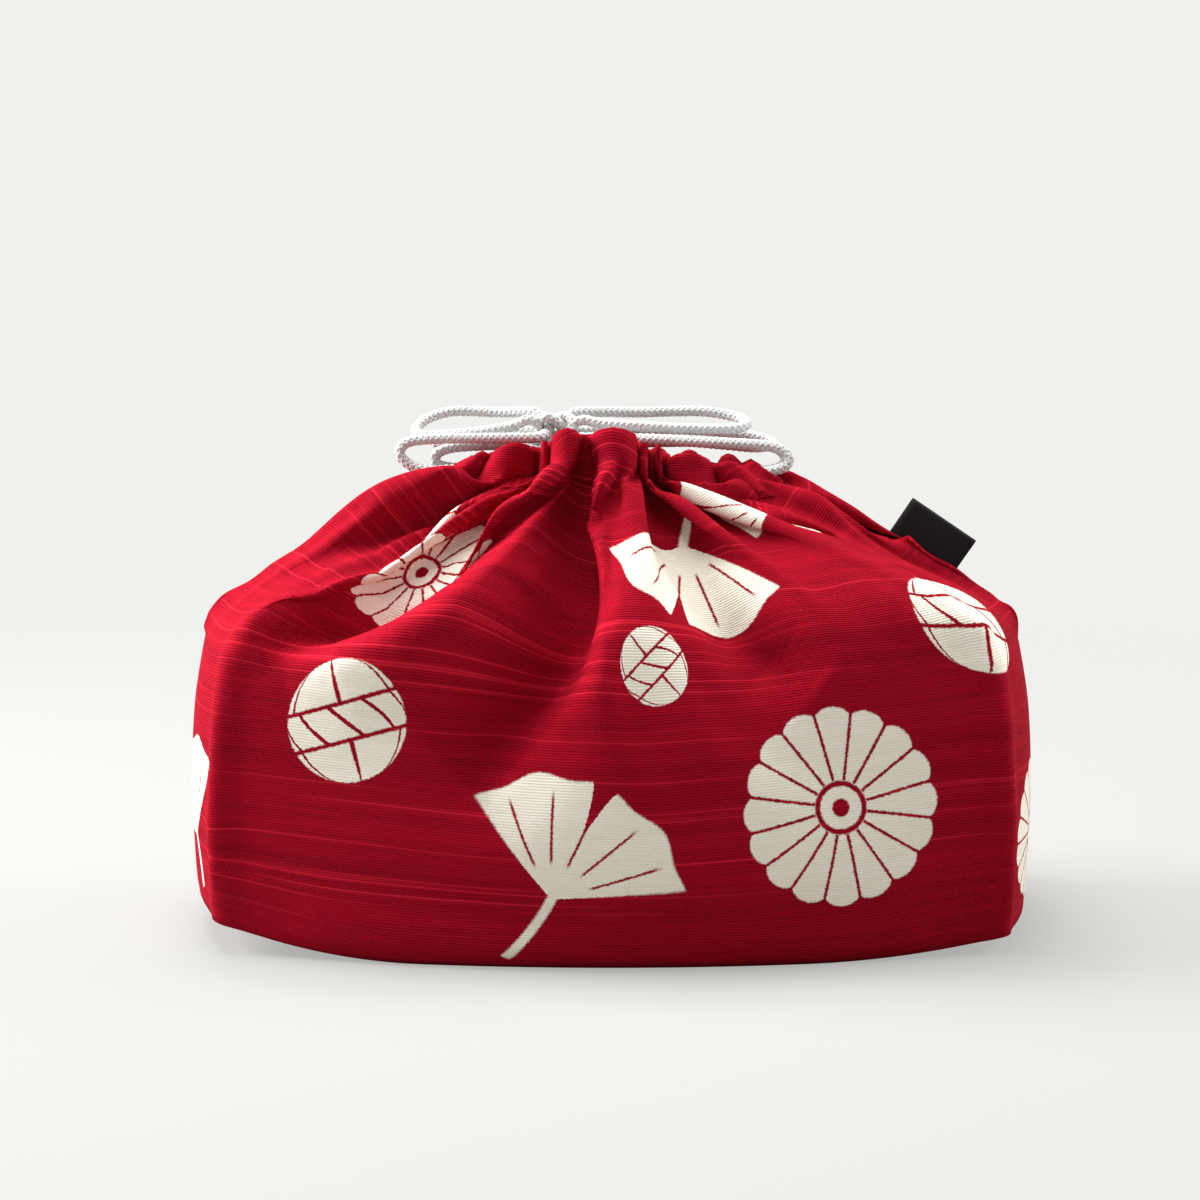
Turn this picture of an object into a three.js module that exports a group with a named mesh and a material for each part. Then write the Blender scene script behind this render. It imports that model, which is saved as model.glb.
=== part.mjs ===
// A drawstring lunch bag, tied shut: cotton walls on a flat base, a gathered mouth with two cord
// casings, two draw cords tied in a bow on top, and a bare woven tag in the right side seam.
// Millimetres, +Z up. The front faces -Y and the origin is on the table under the bag's middle.
import * as THREE from "three";

// Cloth walls
const bagLength = 235;
const bagDepth = 134;
const sideBow = 13.5; // how far the ends and the faces swell out beyond the corners
const faceBow = 17.5;
const bowSwell = 0.8; // share of a face's change in depth that its corners don't follow
const cornerRound = 8;
const fullestHeight = 38;
const footCurve = 2.6; // how quickly the wall swells out above the base
const shoulderHeight = 87;
const shoulderLength = bagLength - 12; // the walls lean in towards the shoulders
const shoulderDepth = bagDepth - 18;
const clothThickness = 1.2;
const seamGap = 0.3;

// Base
const baseLength = bagLength - 8; // smaller all round than the walls where they are fullest
const baseDepth = bagDepth - 11;
const flatLength = 104; // the middle of the base lies flat on the table
const leftLift = 10.5; // its two ends curl up by this much
const rightLift = 5.6;
const baseRings = [1, 0.75, 0.45];

// Shoulders, from the walls up to the mouth
const sideRise = 23; // how far the side ridges climb before they turn in
const frontRise = 19; // the same at the middle of the front and back, which are fuller
const sideInset = 24;
const frontInset = 13;
const slitStart = 0.5; // share of the ridge, from the wall up, where the side seam ends
const slitSpread = 0.12; // share of the half outline drawn in to the side seam
const pleatCount = 9;
const pleatDepth = 3.2;
const pleatFade = 1.5; // how quickly the pleats die away below the mouth

// Main folds of the front (-1) and the back (1): places (x, z) down each fold, its depth there (less
// than none for a ridge) and its reach to both sides
const folds = {
  [-1]: [
    {
      places: [[-29, 117], [-43, 106.5], [-67, 95], [-94, 84]],
      depths: [6, 14, 11, 0],
      reach: [7, 9, 9, 6],
    },
    {
      places: [[-6.5, 116], [-7.5, 105], [-9, 94], [-16.5, 77], [-27, 63], [-39, 50]],
      depths: [6, 12, 13, 13, 10, 0],
      reach: [7, 8, 11, 13, 12, 10],
    },
    {
      places: [[10, 118], [17, 108], [31, 92], [54, 73]],
      depths: [5, 10, 8, 0],
      reach: [6, 8, 10, 11],
    },
    {
      places: [[-19, 116], [-29, 107], [-44, 96], [-65, 86.5], [-88, 81]],
      depths: [-3, -6, -6, -5, 0],
      reach: [7, 9, 9, 8, 7],
    },
    {
      places: [[2, 110], [3, 97], [-1, 80], [-12, 62]],
      depths: [-2, -4, -3, 0],
      reach: [7, 10, 11, 11],
    },
    {
      places: [[36, 118], [55, 105], [72, 95], [92, 86]],
      depths: [-3, -5, -4, 0],
      reach: [6, 6, 7, 7],
    },
    {
      places: [[-40, 116], [-62, 103], [-90, 88]],
      depths: [-3, -4, 0],
      reach: [6, 6, 6],
    },
  ],
  1: [
    {
      places: [[-32, 110], [-48, 98], [-74, 82]],
      depths: [6, 8, 0],
      reach: [7, 9, 9],
    },
    {
      places: [[6, 110], [4, 92], [-4, 66]],
      depths: [6, 8, 0],
      reach: [7, 10, 12],
    },
    {
      places: [[38, 109], [54, 96], [80, 80]],
      depths: [6, 7, 0],
      reach: [7, 9, 9],
    },
    {
      places: [[-12, 106], [-20, 92], [-34, 74]],
      depths: [-4, -4, 0],
      reach: [8, 10, 11],
    },
    {
      places: [[22, 106], [30, 92], [42, 76]],
      depths: [-4, -4, 0],
      reach: [8, 10, 11],
    },
  ],
};
const foldEase = 0.8; // stiff cotton keeps its folds this much shallower than its pleats would draw them
const foldSteps = 24;
const foldTop = 5; // rows below the lip within which the folds give way to the pleats
const foldEdge = 0.08; // share of a half, from its side seams, that the folds leave plain

// Gathered mouth: two lips, each a band of cloth with a cord casing along its top
const mouthLength = 74;
const mouthWidth = 19;
const slitWidth = 12; // between the ends of the two lips
const lipMiddleHeight = 119;
const lipEndHeight = 121;
const lipEndBand = 11.4;
const frontLipBand = 20.5;
const backLipBand = 12.6;
const lipOuter = 3.6; // cloth outside and inside the casing's middle
const lipInner = 3.4;
const crestHalf = 1.25; // the lip's rounded top: half its flat, and how far its rounding reaches down
const crestDrop = 2.4;
const crestInset = 0.6;
const backLean = 10; // degrees by which the middle of the back lip leans out
const neckHeight = 2.4; // the shoulder's straight top, in line with the lip above it

// Draw cords
const cordDiameter = 2.9;
const cordPitch = 3.9; // between the two cords that share a casing
const casingWidth = 4.2;
const casingHeight = 8.2;
const boreRound = 1;
const casingDrop = 7.2; // from a lip's top edge down to the casing's middle
const exitLead = 3.4; // a cord leaves its casing straight for this far before it turns back
const slitTurn = 7.4; // how far outside the lips' ends it turns
const cordSides = 8;
const cordStep = 7;
const runPoints = 15;
const runInset = 0.012; // share of a casing left free at each end of the cord in it
const knotRadius = 6;
const knotSides = 14;
const knotRows = 10;
const knotLead = 3; // a cord leaves the knot square on for this far
const knotX = -15.7;
const knotY = 9;

// Woven tag
const tagWidth = 21.5;
const tagReach = 10.5;
const tagPly = 0.4;
const tagFoldGap = 0.4;
const tagSeat = 0.8; // clear of the ridge, so that its foot can turn
const tagFrom = 0.23; // shares of the right ridge, from the wall up, between which the tag sits
const tagTo = 0.43;
const tagRound = 6; // facets in the turn of its fold

// How finely the cloth is faceted
const roundSteps = 72;
const wallRows = [0, 0.05, 0.16, 0.4, 0.58, 0.7, 0.8, 0.9, 1];
const shoulderRows = [0.1, 0.2, 0.31, 0.43, 0.56, 0.7, 0.85, 1];

const lerp = THREE.MathUtils.lerp;
const radians = THREE.MathUtils.degToRad;
const up = new THREE.Vector3(0, 0, 1);
const heart = new THREE.Vector3(0, 0, shoulderHeight / 2);
const point = (x, y, z) => new THREE.Vector3(x, y, z);

const crimson = { color: 0xa3121f, roughness: 0.9, metalness: 0 };
const white = { color: 0xe9e9ee, roughness: 0.85, metalness: 0 };
const black = { color: 0x121113, roughness: 0.8, metalness: 0 };

const bag = new THREE.Group();

function addPiece(name, geometry, finish) {
  const piece = new THREE.Mesh(geometry, new THREE.MeshStandardMaterial(finish));
  piece.name = name;
  bag.add(piece);
}

// A closed body from points and triangles, turned so that its faces point out.
function closedBody(points, triangles) {
  let volume = 0;
  for (const [a, b, c] of triangles) {
    volume += points[a].dot(points[b].clone().cross(points[c]));
  }
  const order = volume < 0 ? triangles.map(([a, b, c]) => [a, c, b]) : triangles;
  const geometry = new THREE.BufferGeometry().setFromPoints(points);
  geometry.setIndex(order.flat());
  geometry.computeVertexNormals();
  return geometry;
}

// Two triangles for each cell between neighbouring rows of vertex numbers.
function stitchRows(rowA, rowB) {
  const triangles = [];
  for (let i = 0; i + 1 < rowA.length; i++) {
    triangles.push([rowA[i], rowA[i + 1], rowB[i + 1]], [rowA[i], rowB[i + 1], rowB[i]]);
  }
  return triangles;
}

// Which way a sheet of points faces at one of them, away from the bag's heart.
function outward(rows, j, i) {
  const row = rows[j];
  const across = row[Math.min(i + 1, row.length - 1)].clone().sub(row[Math.max(i - 1, 0)]);
  const along = rows[Math.min(j + 1, rows.length - 1)][i].clone().sub(rows[Math.max(j - 1, 0)][i]);
  const face = across.cross(along).normalize();
  return face.dot(row[i].clone().sub(heart)) < 0 ? face.negate() : face;
}

// A sheet of cloth: rows of points on its outer face, thickened inwards.
function clothSheet(rows) {
  const inner = rows.map((row, j) =>
    row.map((here, i) => here.clone().addScaledVector(outward(rows, j, i), -clothThickness)),
  );
  const width = rows[0].length;
  const outerIds = rows.map((row, j) => row.map((_, i) => j * width + i));
  const innerIds = outerIds.map((row) => row.map((id) => id + rows.length * width));
  const triangles = [];
  for (let j = 0; j + 1 < rows.length; j++) {
    triangles.push(...stitchRows(outerIds[j], outerIds[j + 1]));
    triangles.push(...stitchRows(innerIds[j + 1], innerIds[j]));
  }
  const top = rows.length - 1;
  triangles.push(...stitchRows(innerIds[0], outerIds[0]));
  triangles.push(...stitchRows(outerIds[top], innerIds[top]));
  const edge = (ids, i) => ids.map((row) => row[i]);
  triangles.push(...stitchRows(edge(outerIds, 0), edge(innerIds, 0)));
  triangles.push(...stitchRows(edge(innerIds, width - 1), edge(outerIds, width - 1)));
  return closedBody([...rows.flat(), ...inner.flat()], triangles);
}

// Plan of one half of the bag, evenly spaced from the left side seam round to the right one.
function halfPlan(length, depth, swell = 0) {
  const x = length / 2;
  const y = (depth - seamGap) / 2;
  const corner = new THREE.Vector2(sideBow - x, faceBow + swell - y);
  const endControl = new THREE.Vector2(-x, corner.y / 2);
  const faceControl = new THREE.Vector2(corner.x / 2, -y);
  const towards = (control) => control.clone().sub(corner).setLength(cornerRound).add(corner);
  const [endSide, faceSide] = [towards(endControl), towards(faceControl)];
  const plan = new THREE.Path();
  plan.moveTo(-x, 0);
  plan.quadraticCurveTo(endControl.x, endControl.y, endSide.x, endSide.y);
  plan.quadraticCurveTo(corner.x, corner.y, faceSide.x, faceSide.y);
  plan.quadraticCurveTo(faceControl.x, faceControl.y, 0, -y);
  plan.quadraticCurveTo(-faceControl.x, faceControl.y, -faceSide.x, faceSide.y);
  plan.quadraticCurveTo(-corner.x, corner.y, -endSide.x, endSide.y);
  plan.quadraticCurveTo(-endControl.x, endControl.y, x, 0);
  return plan.getSpacedPoints(roundSteps);
}

// How far the base is off the table at a given place along the bag.
function baseLift(x) {
  const past = Math.max(0, Math.abs(x) - flatLength / 2);
  return (x < 0 ? leftLift : rightLift) * (past / (baseLength / 2 - flatLength / 2)) ** 2;
}

// One row of the wall at a share of its height. side is -1 for the front and 1 for the back.
function wallRow(share, side) {
  const z = share * shoulderHeight;
  const rim = 2 * (clothThickness + seamGap);
  const spread = z < fullestHeight ? (1 - z / fullestHeight) ** footCurve : 0;
  const turn = z > fullestHeight ? ((z - fullestHeight) / (shoulderHeight - fullestHeight)) ** 2 : 0;
  const size = (full, base, shoulder) => full - (full - base - rim) * spread - (full - shoulder) * turn;
  const length = size(bagLength, baseLength, shoulderLength);
  const depth = size(bagDepth, baseDepth, shoulderDepth);
  const swell = ((depth - baseDepth - rim) / 2) * bowSwell;
  return halfPlan(length, depth, swell).map((p) => {
    const lift = baseLift(p.x) * Math.max(0, 1 - z / fullestHeight);
    return point(p.x, side * (seamGap / 2 - p.y), z + lift);
  });
}

// A place on a lip: its lower edge, the way its band rises and the way its outer face looks.
function lipFrame(share, side) {
  const first = Math.asin(slitWidth / mouthWidth);
  const reach = mouthLength / 2 / Math.cos(first);
  const turn = lerp(first, Math.PI - first, share);
  const middle = (Math.sin(turn) - Math.sin(first)) / (1 - Math.sin(first));
  const lean = side < 0 ? 0 : radians(backLean) * middle;
  const rise = point(0, side * Math.sin(lean), Math.cos(lean));
  const edge = point(-reach * Math.cos(turn), (side * mouthWidth * Math.sin(turn)) / 2, 0);
  edge.z = lerp(lipEndHeight, lipMiddleHeight, middle);
  const along = point(reach * Math.sin(turn), (side * mouthWidth * Math.cos(turn)) / 2, 0).normalize();
  const face = along.cross(rise).normalize();
  if (face.y * side < 0) face.negate();
  const band = lerp(lipEndBand, side < 0 ? frontLipBand : backLipBand, middle);
  const wave = (1 - Math.cos(2 * Math.PI * pleatCount * share)) / 2;
  const fold = pleatDepth * wave * Math.sqrt(Math.sin(Math.PI * share));
  return { edge, rise, face, band, fold };
}

const onLip = (frame, out, high) =>
  frame.edge.clone().addScaledVector(frame.face, out).addScaledVector(frame.rise, high);

// The shoulder's rows climb from the wall's top row to just under the lip.
function shoulderRow(share, side) {
  const foot = wallRow(1, side);
  return foot.map((low, i) => {
    const t = i / roundSteps;
    const frame = lipFrame(t, side);
    const high = onLip(frame, lipOuter, -seamGap - neckHeight);
    const front = Math.sin(Math.PI * t) ** 2;
    const rise = lerp(sideRise, frontRise, front);
    const inset = lerp(sideInset, frontInset, front);
    const inwards = point(high.x - low.x, high.y - low.y, 0).normalize();
    const bend = low.clone().addScaledVector(inwards, inset).addScaledVector(up, rise);
    const here = new THREE.QuadraticBezierCurve3(low, bend, high).getPoint(share);
    const seam = Math.max(0, 1 - Math.min(t, 1 - t) / slitSpread) ** 2;
    const closed = 1 - THREE.MathUtils.smoothstep(share, slitStart, 1);
    here.y = lerp(here.y, (side * seamGap) / 2, seam * closed);
    return here.addScaledVector(frame.face, frame.fold * share ** pleatFade);
  });
}

function neckRow(side) {
  return Array.from({ length: roundSteps + 1 }, (_, i) => {
    const frame = lipFrame(i / roundSteps, side);
    return onLip(frame, lipOuter + frame.fold, -seamGap);
  });
}

// How deep the main folds are at a place on the front or the back
function foldDepth(x, z, side) {
  let depth = 0;
  for (const fold of folds[side]) {
    const line = new THREE.SplineCurve(fold.places.map(([px, pz]) => new THREE.Vector2(px, pz)));
    let nearest = Infinity;
    let share = 0;
    for (let k = 0; k <= foldSteps; k++) {
      const away = line.getPoint(k / foldSteps).distanceTo(new THREE.Vector2(x, z));
      if (away < nearest) [nearest, share] = [away, k / foldSteps];
    }
    const station = share * (fold.places.length - 1);
    const low = Math.min(Math.floor(station), fold.places.length - 2);
    const between = (values) => lerp(values[low], values[low + 1], station - low);
    depth += between(fold.depths) * Math.exp(-((nearest / between(fold.reach)) ** 2));
  }
  return depth * foldEase;
}

// Front and back walls, each from the base's edge up to its lip
for (const [name, side] of [["front_panel", -1], ["back_panel", 1]]) {
  const plain = wallRows.map((share) => wallRow(share, side));
  plain.push(...shoulderRows.map((share) => shoulderRow(share, side)), neckRow(side));
  const rows = plain.map((row, j) =>
    row.map((here, i) => {
      const t = i / roundSteps;
      const inside = THREE.MathUtils.smoothstep(Math.min(t, 1 - t), 0, foldEdge);
      const under = 1 - THREE.MathUtils.smoothstep(j, plain.length - foldTop, plain.length - 2);
      const depth = foldDepth(here.x, here.z, side) * inside * under;
      return here.clone().addScaledVector(outward(plain, j, i), -depth);
    }),
  );
  addPiece(name, clothSheet(rows), crimson);
}

// Base, a flat piece inside the foot of the walls whose two ends curl up
function basePanel() {
  const half = halfPlan(baseLength, baseDepth);
  const plan = [...half, ...half.slice(1, -1).map((p) => new THREE.Vector2(-p.x, -p.y))];
  const points = [];
  for (const z of [0, clothThickness]) {
    for (const scale of baseRings) {
      points.push(...plan.map((p) => point(p.x * scale, p.y * scale, z + baseLift(p.x * scale))));
    }
    points.push(point(0, 0, z));
  }
  const count = plan.length;
  const layer = baseRings.length * count + 1;
  const ring = (start) => [...plan.map((_, i) => start + i), start];
  const triangles = [];
  for (const start of [0, layer]) {
    const faces = [];
    for (let k = 0; k + 1 < baseRings.length; k++) {
      faces.push(...stitchRows(ring(start + k * count), ring(start + (k + 1) * count)));
    }
    const last = ring(start + (baseRings.length - 1) * count);
    for (let i = 0; i < count; i++) faces.push([last[i], last[i + 1], start + layer - 1]);
    triangles.push(...(start ? faces : faces.map(([a, b, c]) => [a, c, b])));
  }
  triangles.push(...stitchRows(ring(0), ring(layer)));
  return closedBody(points, triangles);
}
addPiece("base_panel", basePanel(), crimson);

// A lip: folded cloth all round a casing that is open at both ends
function lip(side) {
  const half = casingWidth / 2;
  const tall = casingHeight / 2;
  const loops = [];
  for (let i = 0; i <= roundSteps; i++) {
    const frame = lipFrame(i / roundSteps, side);
    const out = lipOuter + frame.fold;
    const top = frame.band;
    const middle = top - casingDrop;
    const outer = [
      [out, 0],
      [out, middle],
      [out - crestInset, top - crestDrop],
      [crestHalf, top],
      [-crestHalf, top],
      [crestInset - lipInner, top - crestDrop],
      [-lipInner, middle],
      [-lipInner, 0],
    ];
    const bore = [
      [half, middle - tall],
      [half, middle],
      [half, middle + tall - boreRound],
      [half - boreRound, middle + tall],
      [boreRound - half, middle + tall],
      [-half, middle + tall - boreRound],
      [-half, middle],
      [-half, middle - tall],
    ];
    loops.push([outer, bore].map((loop) => loop.map(([n, h]) => onLip(frame, n, h))));
  }
  const sides = loops[0][0].length;
  const id = (i, layer, k) => (i * 2 + layer) * sides + (k % sides);
  const loopIds = (i, layer) => Array.from({ length: sides + 1 }, (_, k) => id(i, layer, k));
  const triangles = [];
  for (let i = 0; i < roundSteps; i++) {
    triangles.push(...stitchRows(loopIds(i, 0), loopIds(i + 1, 0)));
    triangles.push(...stitchRows(loopIds(i + 1, 1), loopIds(i, 1)));
  }
  triangles.push(...stitchRows(loopIds(0, 1), loopIds(0, 0)));
  triangles.push(...stitchRows(loopIds(roundSteps, 0), loopIds(roundSteps, 1)));
  return closedBody(loops.flat(2), triangles);
}
addPiece("front_lip", lip(-1), crimson);
addPiece("back_lip", lip(1), crimson);

// A round cord along a smooth line through the given points
function cord(points) {
  const line = new THREE.CatmullRomCurve3(points, false, "centripetal");
  const section = new THREE.Shape();
  for (let k = 0; k < cordSides; k++) {
    const angle = (2 * Math.PI * k) / cordSides;
    const x = (cordDiameter / 2) * Math.cos(angle);
    const y = (cordDiameter / 2) * Math.sin(angle);
    if (k === 0) section.moveTo(x, y);
    else section.lineTo(x, y);
  }
  section.closePath();
  const steps = Math.max(2, Math.round(line.getLength() / cordStep));
  return new THREE.ExtrudeGeometry(section, { steps, extrudePath: line, bevelEnabled: false });
}

// Where the left cord (level 1) and the right cord (level -1) lie in a casing
function inCasing(share, side, level) {
  const frame = lipFrame(share, side);
  return onLip(frame, 0, frame.band - casingDrop + (level * cordPitch) / 2);
}
const casingRun = (side, level) =>
  Array.from({ length: runPoints }, (_, i) => {
    const share = lerp(runInset, 1 - runInset, i / (runPoints - 1));
    return inCasing(share, side, level);
  });

// A point a little outside a casing's end, in line with it
function casingExit(end, side, level, away) {
  const mouth = inCasing(end, side, level);
  const within = inCasing(lerp(end, 0.5, runInset), side, level);
  return within.sub(mouth).setLength(-away).add(mouth);
}

// Each cord runs through the front casing, turns back at the far slit and returns by the back one.
for (const [name, level, far] of [["left", 1, 1], ["right", -1, 0]]) {
  addPiece(`${name}_cord_front_run`, cord(casingRun(-1, level)), white);
  const bend = casingExit(far, -1, level, 0).add(casingExit(far, 1, level, 0)).multiplyScalar(0.5);
  bend.x += (far ? 1 : -1) * slitTurn;
  const turn = [casingExit(far, -1, level, seamGap), casingExit(far, -1, level, exitLead), bend];
  turn.push(casingExit(far, 1, level, exitLead));
  const back = casingRun(1, level);
  addPiece(`${name}_cord_back_run`, cord([...turn, ...(far ? back.reverse() : back)]), white);
}

// Bow knot, lying on the back lip
const knotShare = 0.5 + knotX / mouthLength;
const knotSeat = onLip(lipFrame(knotShare, 1), 0, lipFrame(knotShare, 1).band).z;
const knot = point(knotX, knotY, knotSeat + knotRadius + seamGap);
const knotBall = new THREE.SphereGeometry(knotRadius, knotSides, knotRows);
knotBall.translate(knot.x, knot.y, knot.z);
addPiece("bow_knot", knotBall, white);

// A cord leaves the knot in a given direction; other places are measured from the knot's middle.
const fromKnot = (x, y, z) =>
  [seamGap, knotLead].map((away) => point(x, y, z).setLength(knotRadius + away).add(knot));
const toKnot = (x, y, z) => fromKnot(x, y, z).reverse();
const byKnot = (x, y, z) => point(x, y, z).add(knot);

// Four strands from the casings' ends up to the knot
addPiece("left_strand_front", cord([
  casingExit(0, -1, 1, seamGap), casingExit(0, -1, 1, 6), byKnot(-36, -11, -11.2),
  byKnot(-43, -9, -6.2), byKnot(-40.5, -7.6, -2.6), byKnot(-30, -7.5, -1.8), byKnot(-18, -8, -2),
  byKnot(-9.5, -6.6, -1.8), ...toKnot(-0.62, -0.76, -0.2),
]), white);
addPiece("left_strand_back", cord([
  casingExit(0, 1, 1, seamGap), casingExit(0, 1, 1, 4), byKnot(-33.5, -3.4, -7.6),
  byKnot(-28, -4.2, -3.6), byKnot(-18, -5, -3.5), byKnot(-10, -5.4, -4.6),
  ...toKnot(-0.5, -0.55, -0.67),
]), white);
addPiece("right_strand_front", cord([
  casingExit(1, -1, -1, seamGap), casingExit(1, -1, -1, 5), byKnot(66, -9.5, -12),
  byKnot(62, -8, -7.2), byKnot(48, -8.4, -4), byKnot(31, -8.5, -3.2), byKnot(15.7, -7.5, -2.2),
  ...toKnot(0.62, -0.76, -0.2),
]), white);
addPiece("right_strand_back", cord([
  casingExit(1, 1, -1, seamGap), casingExit(1, 1, -1, 4), byKnot(65, -3, -9.4),
  byKnot(60, -3.4, -4.6), byKnot(50, -4.2, -3.3), byKnot(42, -4.6, -3.8), byKnot(31, -4.7, -4.4),
  byKnot(15.7, -4.8, -4.6), ...toKnot(0.5, -0.55, -0.67),
]), white);

// Bow loops, two strands to a side
addPiece("left_loop_upper", cord([
  ...fromKnot(-0.75, 0.35, 0.56), byKnot(-9, 5.5, 4.2), byKnot(-17, 9, 4.2), byKnot(-29, 10.4, 4.4),
  byKnot(-36.6, 8, 2.4), byKnot(-39.6, 3, -0.6), byKnot(-35.6, -1.4, -1.6),
  byKnot(-21.3, -2.4, -0.4), byKnot(-11, -1.4, 1.2), ...toKnot(-0.93, -0.1, 0.33),
]), white);
addPiece("left_loop_lower", cord([
  ...fromKnot(-0.85, 0.1, -0.5), byKnot(-10, 1.6, -3.8), byKnot(-20, 2.6, -4),
  byKnot(-29, 3.6, -4.2), byKnot(-34.6, 7.8, -4), byKnot(-29, 12, -2.8), byKnot(-18, 10.6, -1.4),
  byKnot(-9.5, 7.6, -0.9), ...toKnot(-0.75, 0.65, -0.1),
]), white);
addPiece("right_loop_upper", cord([
  ...fromKnot(0.75, 0.35, 0.56), byKnot(9, 5.5, 4.2), byKnot(23.7, 9, 4.2), byKnot(40.7, 10.4, 4.4),
  byKnot(50.4, 8, 3.2), byKnot(54, 3, 1.6), byKnot(50, -1.6, 0.4), byKnot(36, -3.4, 0.6),
  byKnot(22, -3.4, 1.4), byKnot(11, -1.6, 2), ...toKnot(0.93, -0.1, 0.33),
]), white);
addPiece("right_loop_lower", cord([
  ...fromKnot(0.85, 0.1, -0.5), byKnot(10, 1.2, -3), byKnot(24, 1, -2.6), byKnot(46, 1.4, -4.2),
  byKnot(56.6, 2.4, -5.2), byKnot(61.6, 7, -4.4), byKnot(55, 11.6, -2.6), byKnot(38, 12, -1),
  byKnot(20, 10.4, -0.8), byKnot(9.5, 7.6, -0.9), ...toKnot(0.75, 0.65, -0.1),
]), white);

// Tails, each a doubled end that lies down the back
addPiece("left_tail", cord([
  ...fromKnot(-0.42, 0.78, -0.46), byKnot(-5, 12.4, -8.6), byKnot(-6, 14.2, -16), byKnot(-7.4, 17.4, -22.8),
  byKnot(-9.6, 22.6, -27.2), byKnot(-13, 30, -31.6), byKnot(-16.6, 37.4, -36.8), byKnot(-17.4, 43, -40.4),
  byKnot(-14, 45.6, -41), byKnot(-10.6, 43.2, -37.8), byKnot(-8.6, 37.6, -33.4), byKnot(-6.4, 29, -28.2),
  byKnot(-4.4, 20.6, -24.4), byKnot(-3.4, 16, -20), byKnot(-2.8, 13.8, -12), ...toKnot(-0.3, 0.93, 0.2),
]), white);
addPiece("right_tail", cord([
  ...fromKnot(0.3, 0.93, 0.2), byKnot(2.8, 13.8, -12), byKnot(3.4, 16, -20), byKnot(4.6, 20.6, -24),
  byKnot(6.6, 28, -26.6), byKnot(9, 34.6, -31.2), byKnot(11.6, 38.6, -36.4), byKnot(14.8, 39.6, -40),
  byKnot(17, 36.6, -38.2), byKnot(14.6, 29.4, -31), byKnot(11, 22.6, -25.6), byKnot(8, 17.4, -22.4),
  byKnot(6.4, 14.2, -15.6), byKnot(5, 12.4, -8.6), ...toKnot(0.42, 0.78, -0.46),
]), white);

// Woven tag, folded double and standing on the right ridge
function tag() {
  const seatLow = shoulderRow(tagFrom, -1)[roundSteps];
  const seatHigh = shoulderRow(tagTo, -1)[roundSteps];
  const seat = seatLow.clone().add(seatHigh).multiplyScalar(0.5).setY(0);
  const slope = Math.atan2(seatHigh.z - seatLow.z, seatLow.x - seatHigh.x);
  const wide = tagPly + tagFoldGap / 2;
  const fold = new THREE.Shape();
  fold.moveTo(-wide, 0);
  fold.lineTo(-wide, tagReach - wide);
  fold.absarc(0, tagReach - wide, wide, Math.PI, 0, true);
  fold.lineTo(wide, 0);
  fold.lineTo(tagFoldGap / 2, 0);
  fold.lineTo(tagFoldGap / 2, tagReach - wide);
  fold.absarc(0, tagReach - wide, tagFoldGap / 2, 0, Math.PI, false);
  fold.lineTo(-tagFoldGap / 2, 0);
  fold.closePath();
  const sweep = { depth: tagWidth, bevelEnabled: false, curveSegments: tagRound };
  const ribbon = new THREE.ExtrudeGeometry(fold, sweep);
  ribbon.translate(0, tagSeat, -tagWidth / 2);
  ribbon.rotateX(Math.PI / 2);
  ribbon.rotateZ(-Math.PI / 2);
  ribbon.rotateY(slope);
  ribbon.translate(seat.x, seat.y, seat.z);
  return ribbon;
}
addPiece("tag", tag(), black);

export default bag;
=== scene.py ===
import math
import bpy
import numpy as np
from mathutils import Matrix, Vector


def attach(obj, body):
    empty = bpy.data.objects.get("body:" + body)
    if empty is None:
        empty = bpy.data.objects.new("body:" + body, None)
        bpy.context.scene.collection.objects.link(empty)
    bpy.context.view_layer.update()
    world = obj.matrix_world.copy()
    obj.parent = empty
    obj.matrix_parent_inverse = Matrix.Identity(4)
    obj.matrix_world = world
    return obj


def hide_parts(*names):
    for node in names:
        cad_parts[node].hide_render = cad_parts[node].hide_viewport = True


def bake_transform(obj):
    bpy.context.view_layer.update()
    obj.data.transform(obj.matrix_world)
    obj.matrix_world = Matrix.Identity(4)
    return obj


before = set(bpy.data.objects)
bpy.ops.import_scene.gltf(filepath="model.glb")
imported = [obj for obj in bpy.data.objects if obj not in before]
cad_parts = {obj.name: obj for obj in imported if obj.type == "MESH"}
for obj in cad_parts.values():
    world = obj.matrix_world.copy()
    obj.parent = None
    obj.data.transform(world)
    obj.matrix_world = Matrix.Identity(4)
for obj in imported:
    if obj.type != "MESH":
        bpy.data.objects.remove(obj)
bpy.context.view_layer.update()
scene = bpy.context.scene
mm = 0.001

# Camera at the photograph's angle
viewSet = {"place": (-0.0032, -0.820, 0.2047), "tilt": 82.0, "lens": 88.5, "sensor": 36.0}
camera = bpy.data.objects.new("camera", bpy.data.cameras.new("camera"))
scene.collection.objects.link(camera)
camera.location = viewSet["place"]
camera.rotation_euler = (math.radians(viewSet["tilt"]), 0, 0)
camera.data.sensor_width = viewSet["sensor"]
camera.data.lens = viewSet["lens"]
camera.data.clip_start = 0.01
scene.camera = camera
scene.view_settings.view_transform = "Standard"
print("camera set")


def smoothStep(low, high, value):
    t = np.clip((value - low) / (high - low), 0, 1)
    return t * t * (3 - 2 * t)


# The same number of points, evenly spaced along a line
def evenly(points, count):
    p = np.array(points, float)
    along = np.concatenate([[0], np.cumsum(np.linalg.norm(np.diff(p, axis=0), axis=1))])
    at = np.linspace(0, along[-1], count + 1)
    return np.column_stack([np.interp(at, along, p[:, k]) for k in range(p.shape[1])])


# A moving average, over span points to each side
def averaged(values, span):
    count = 2 * span + 1
    return np.convolve(np.pad(values, span, mode="edge"), np.ones(count) / count, mode="valid")


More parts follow.
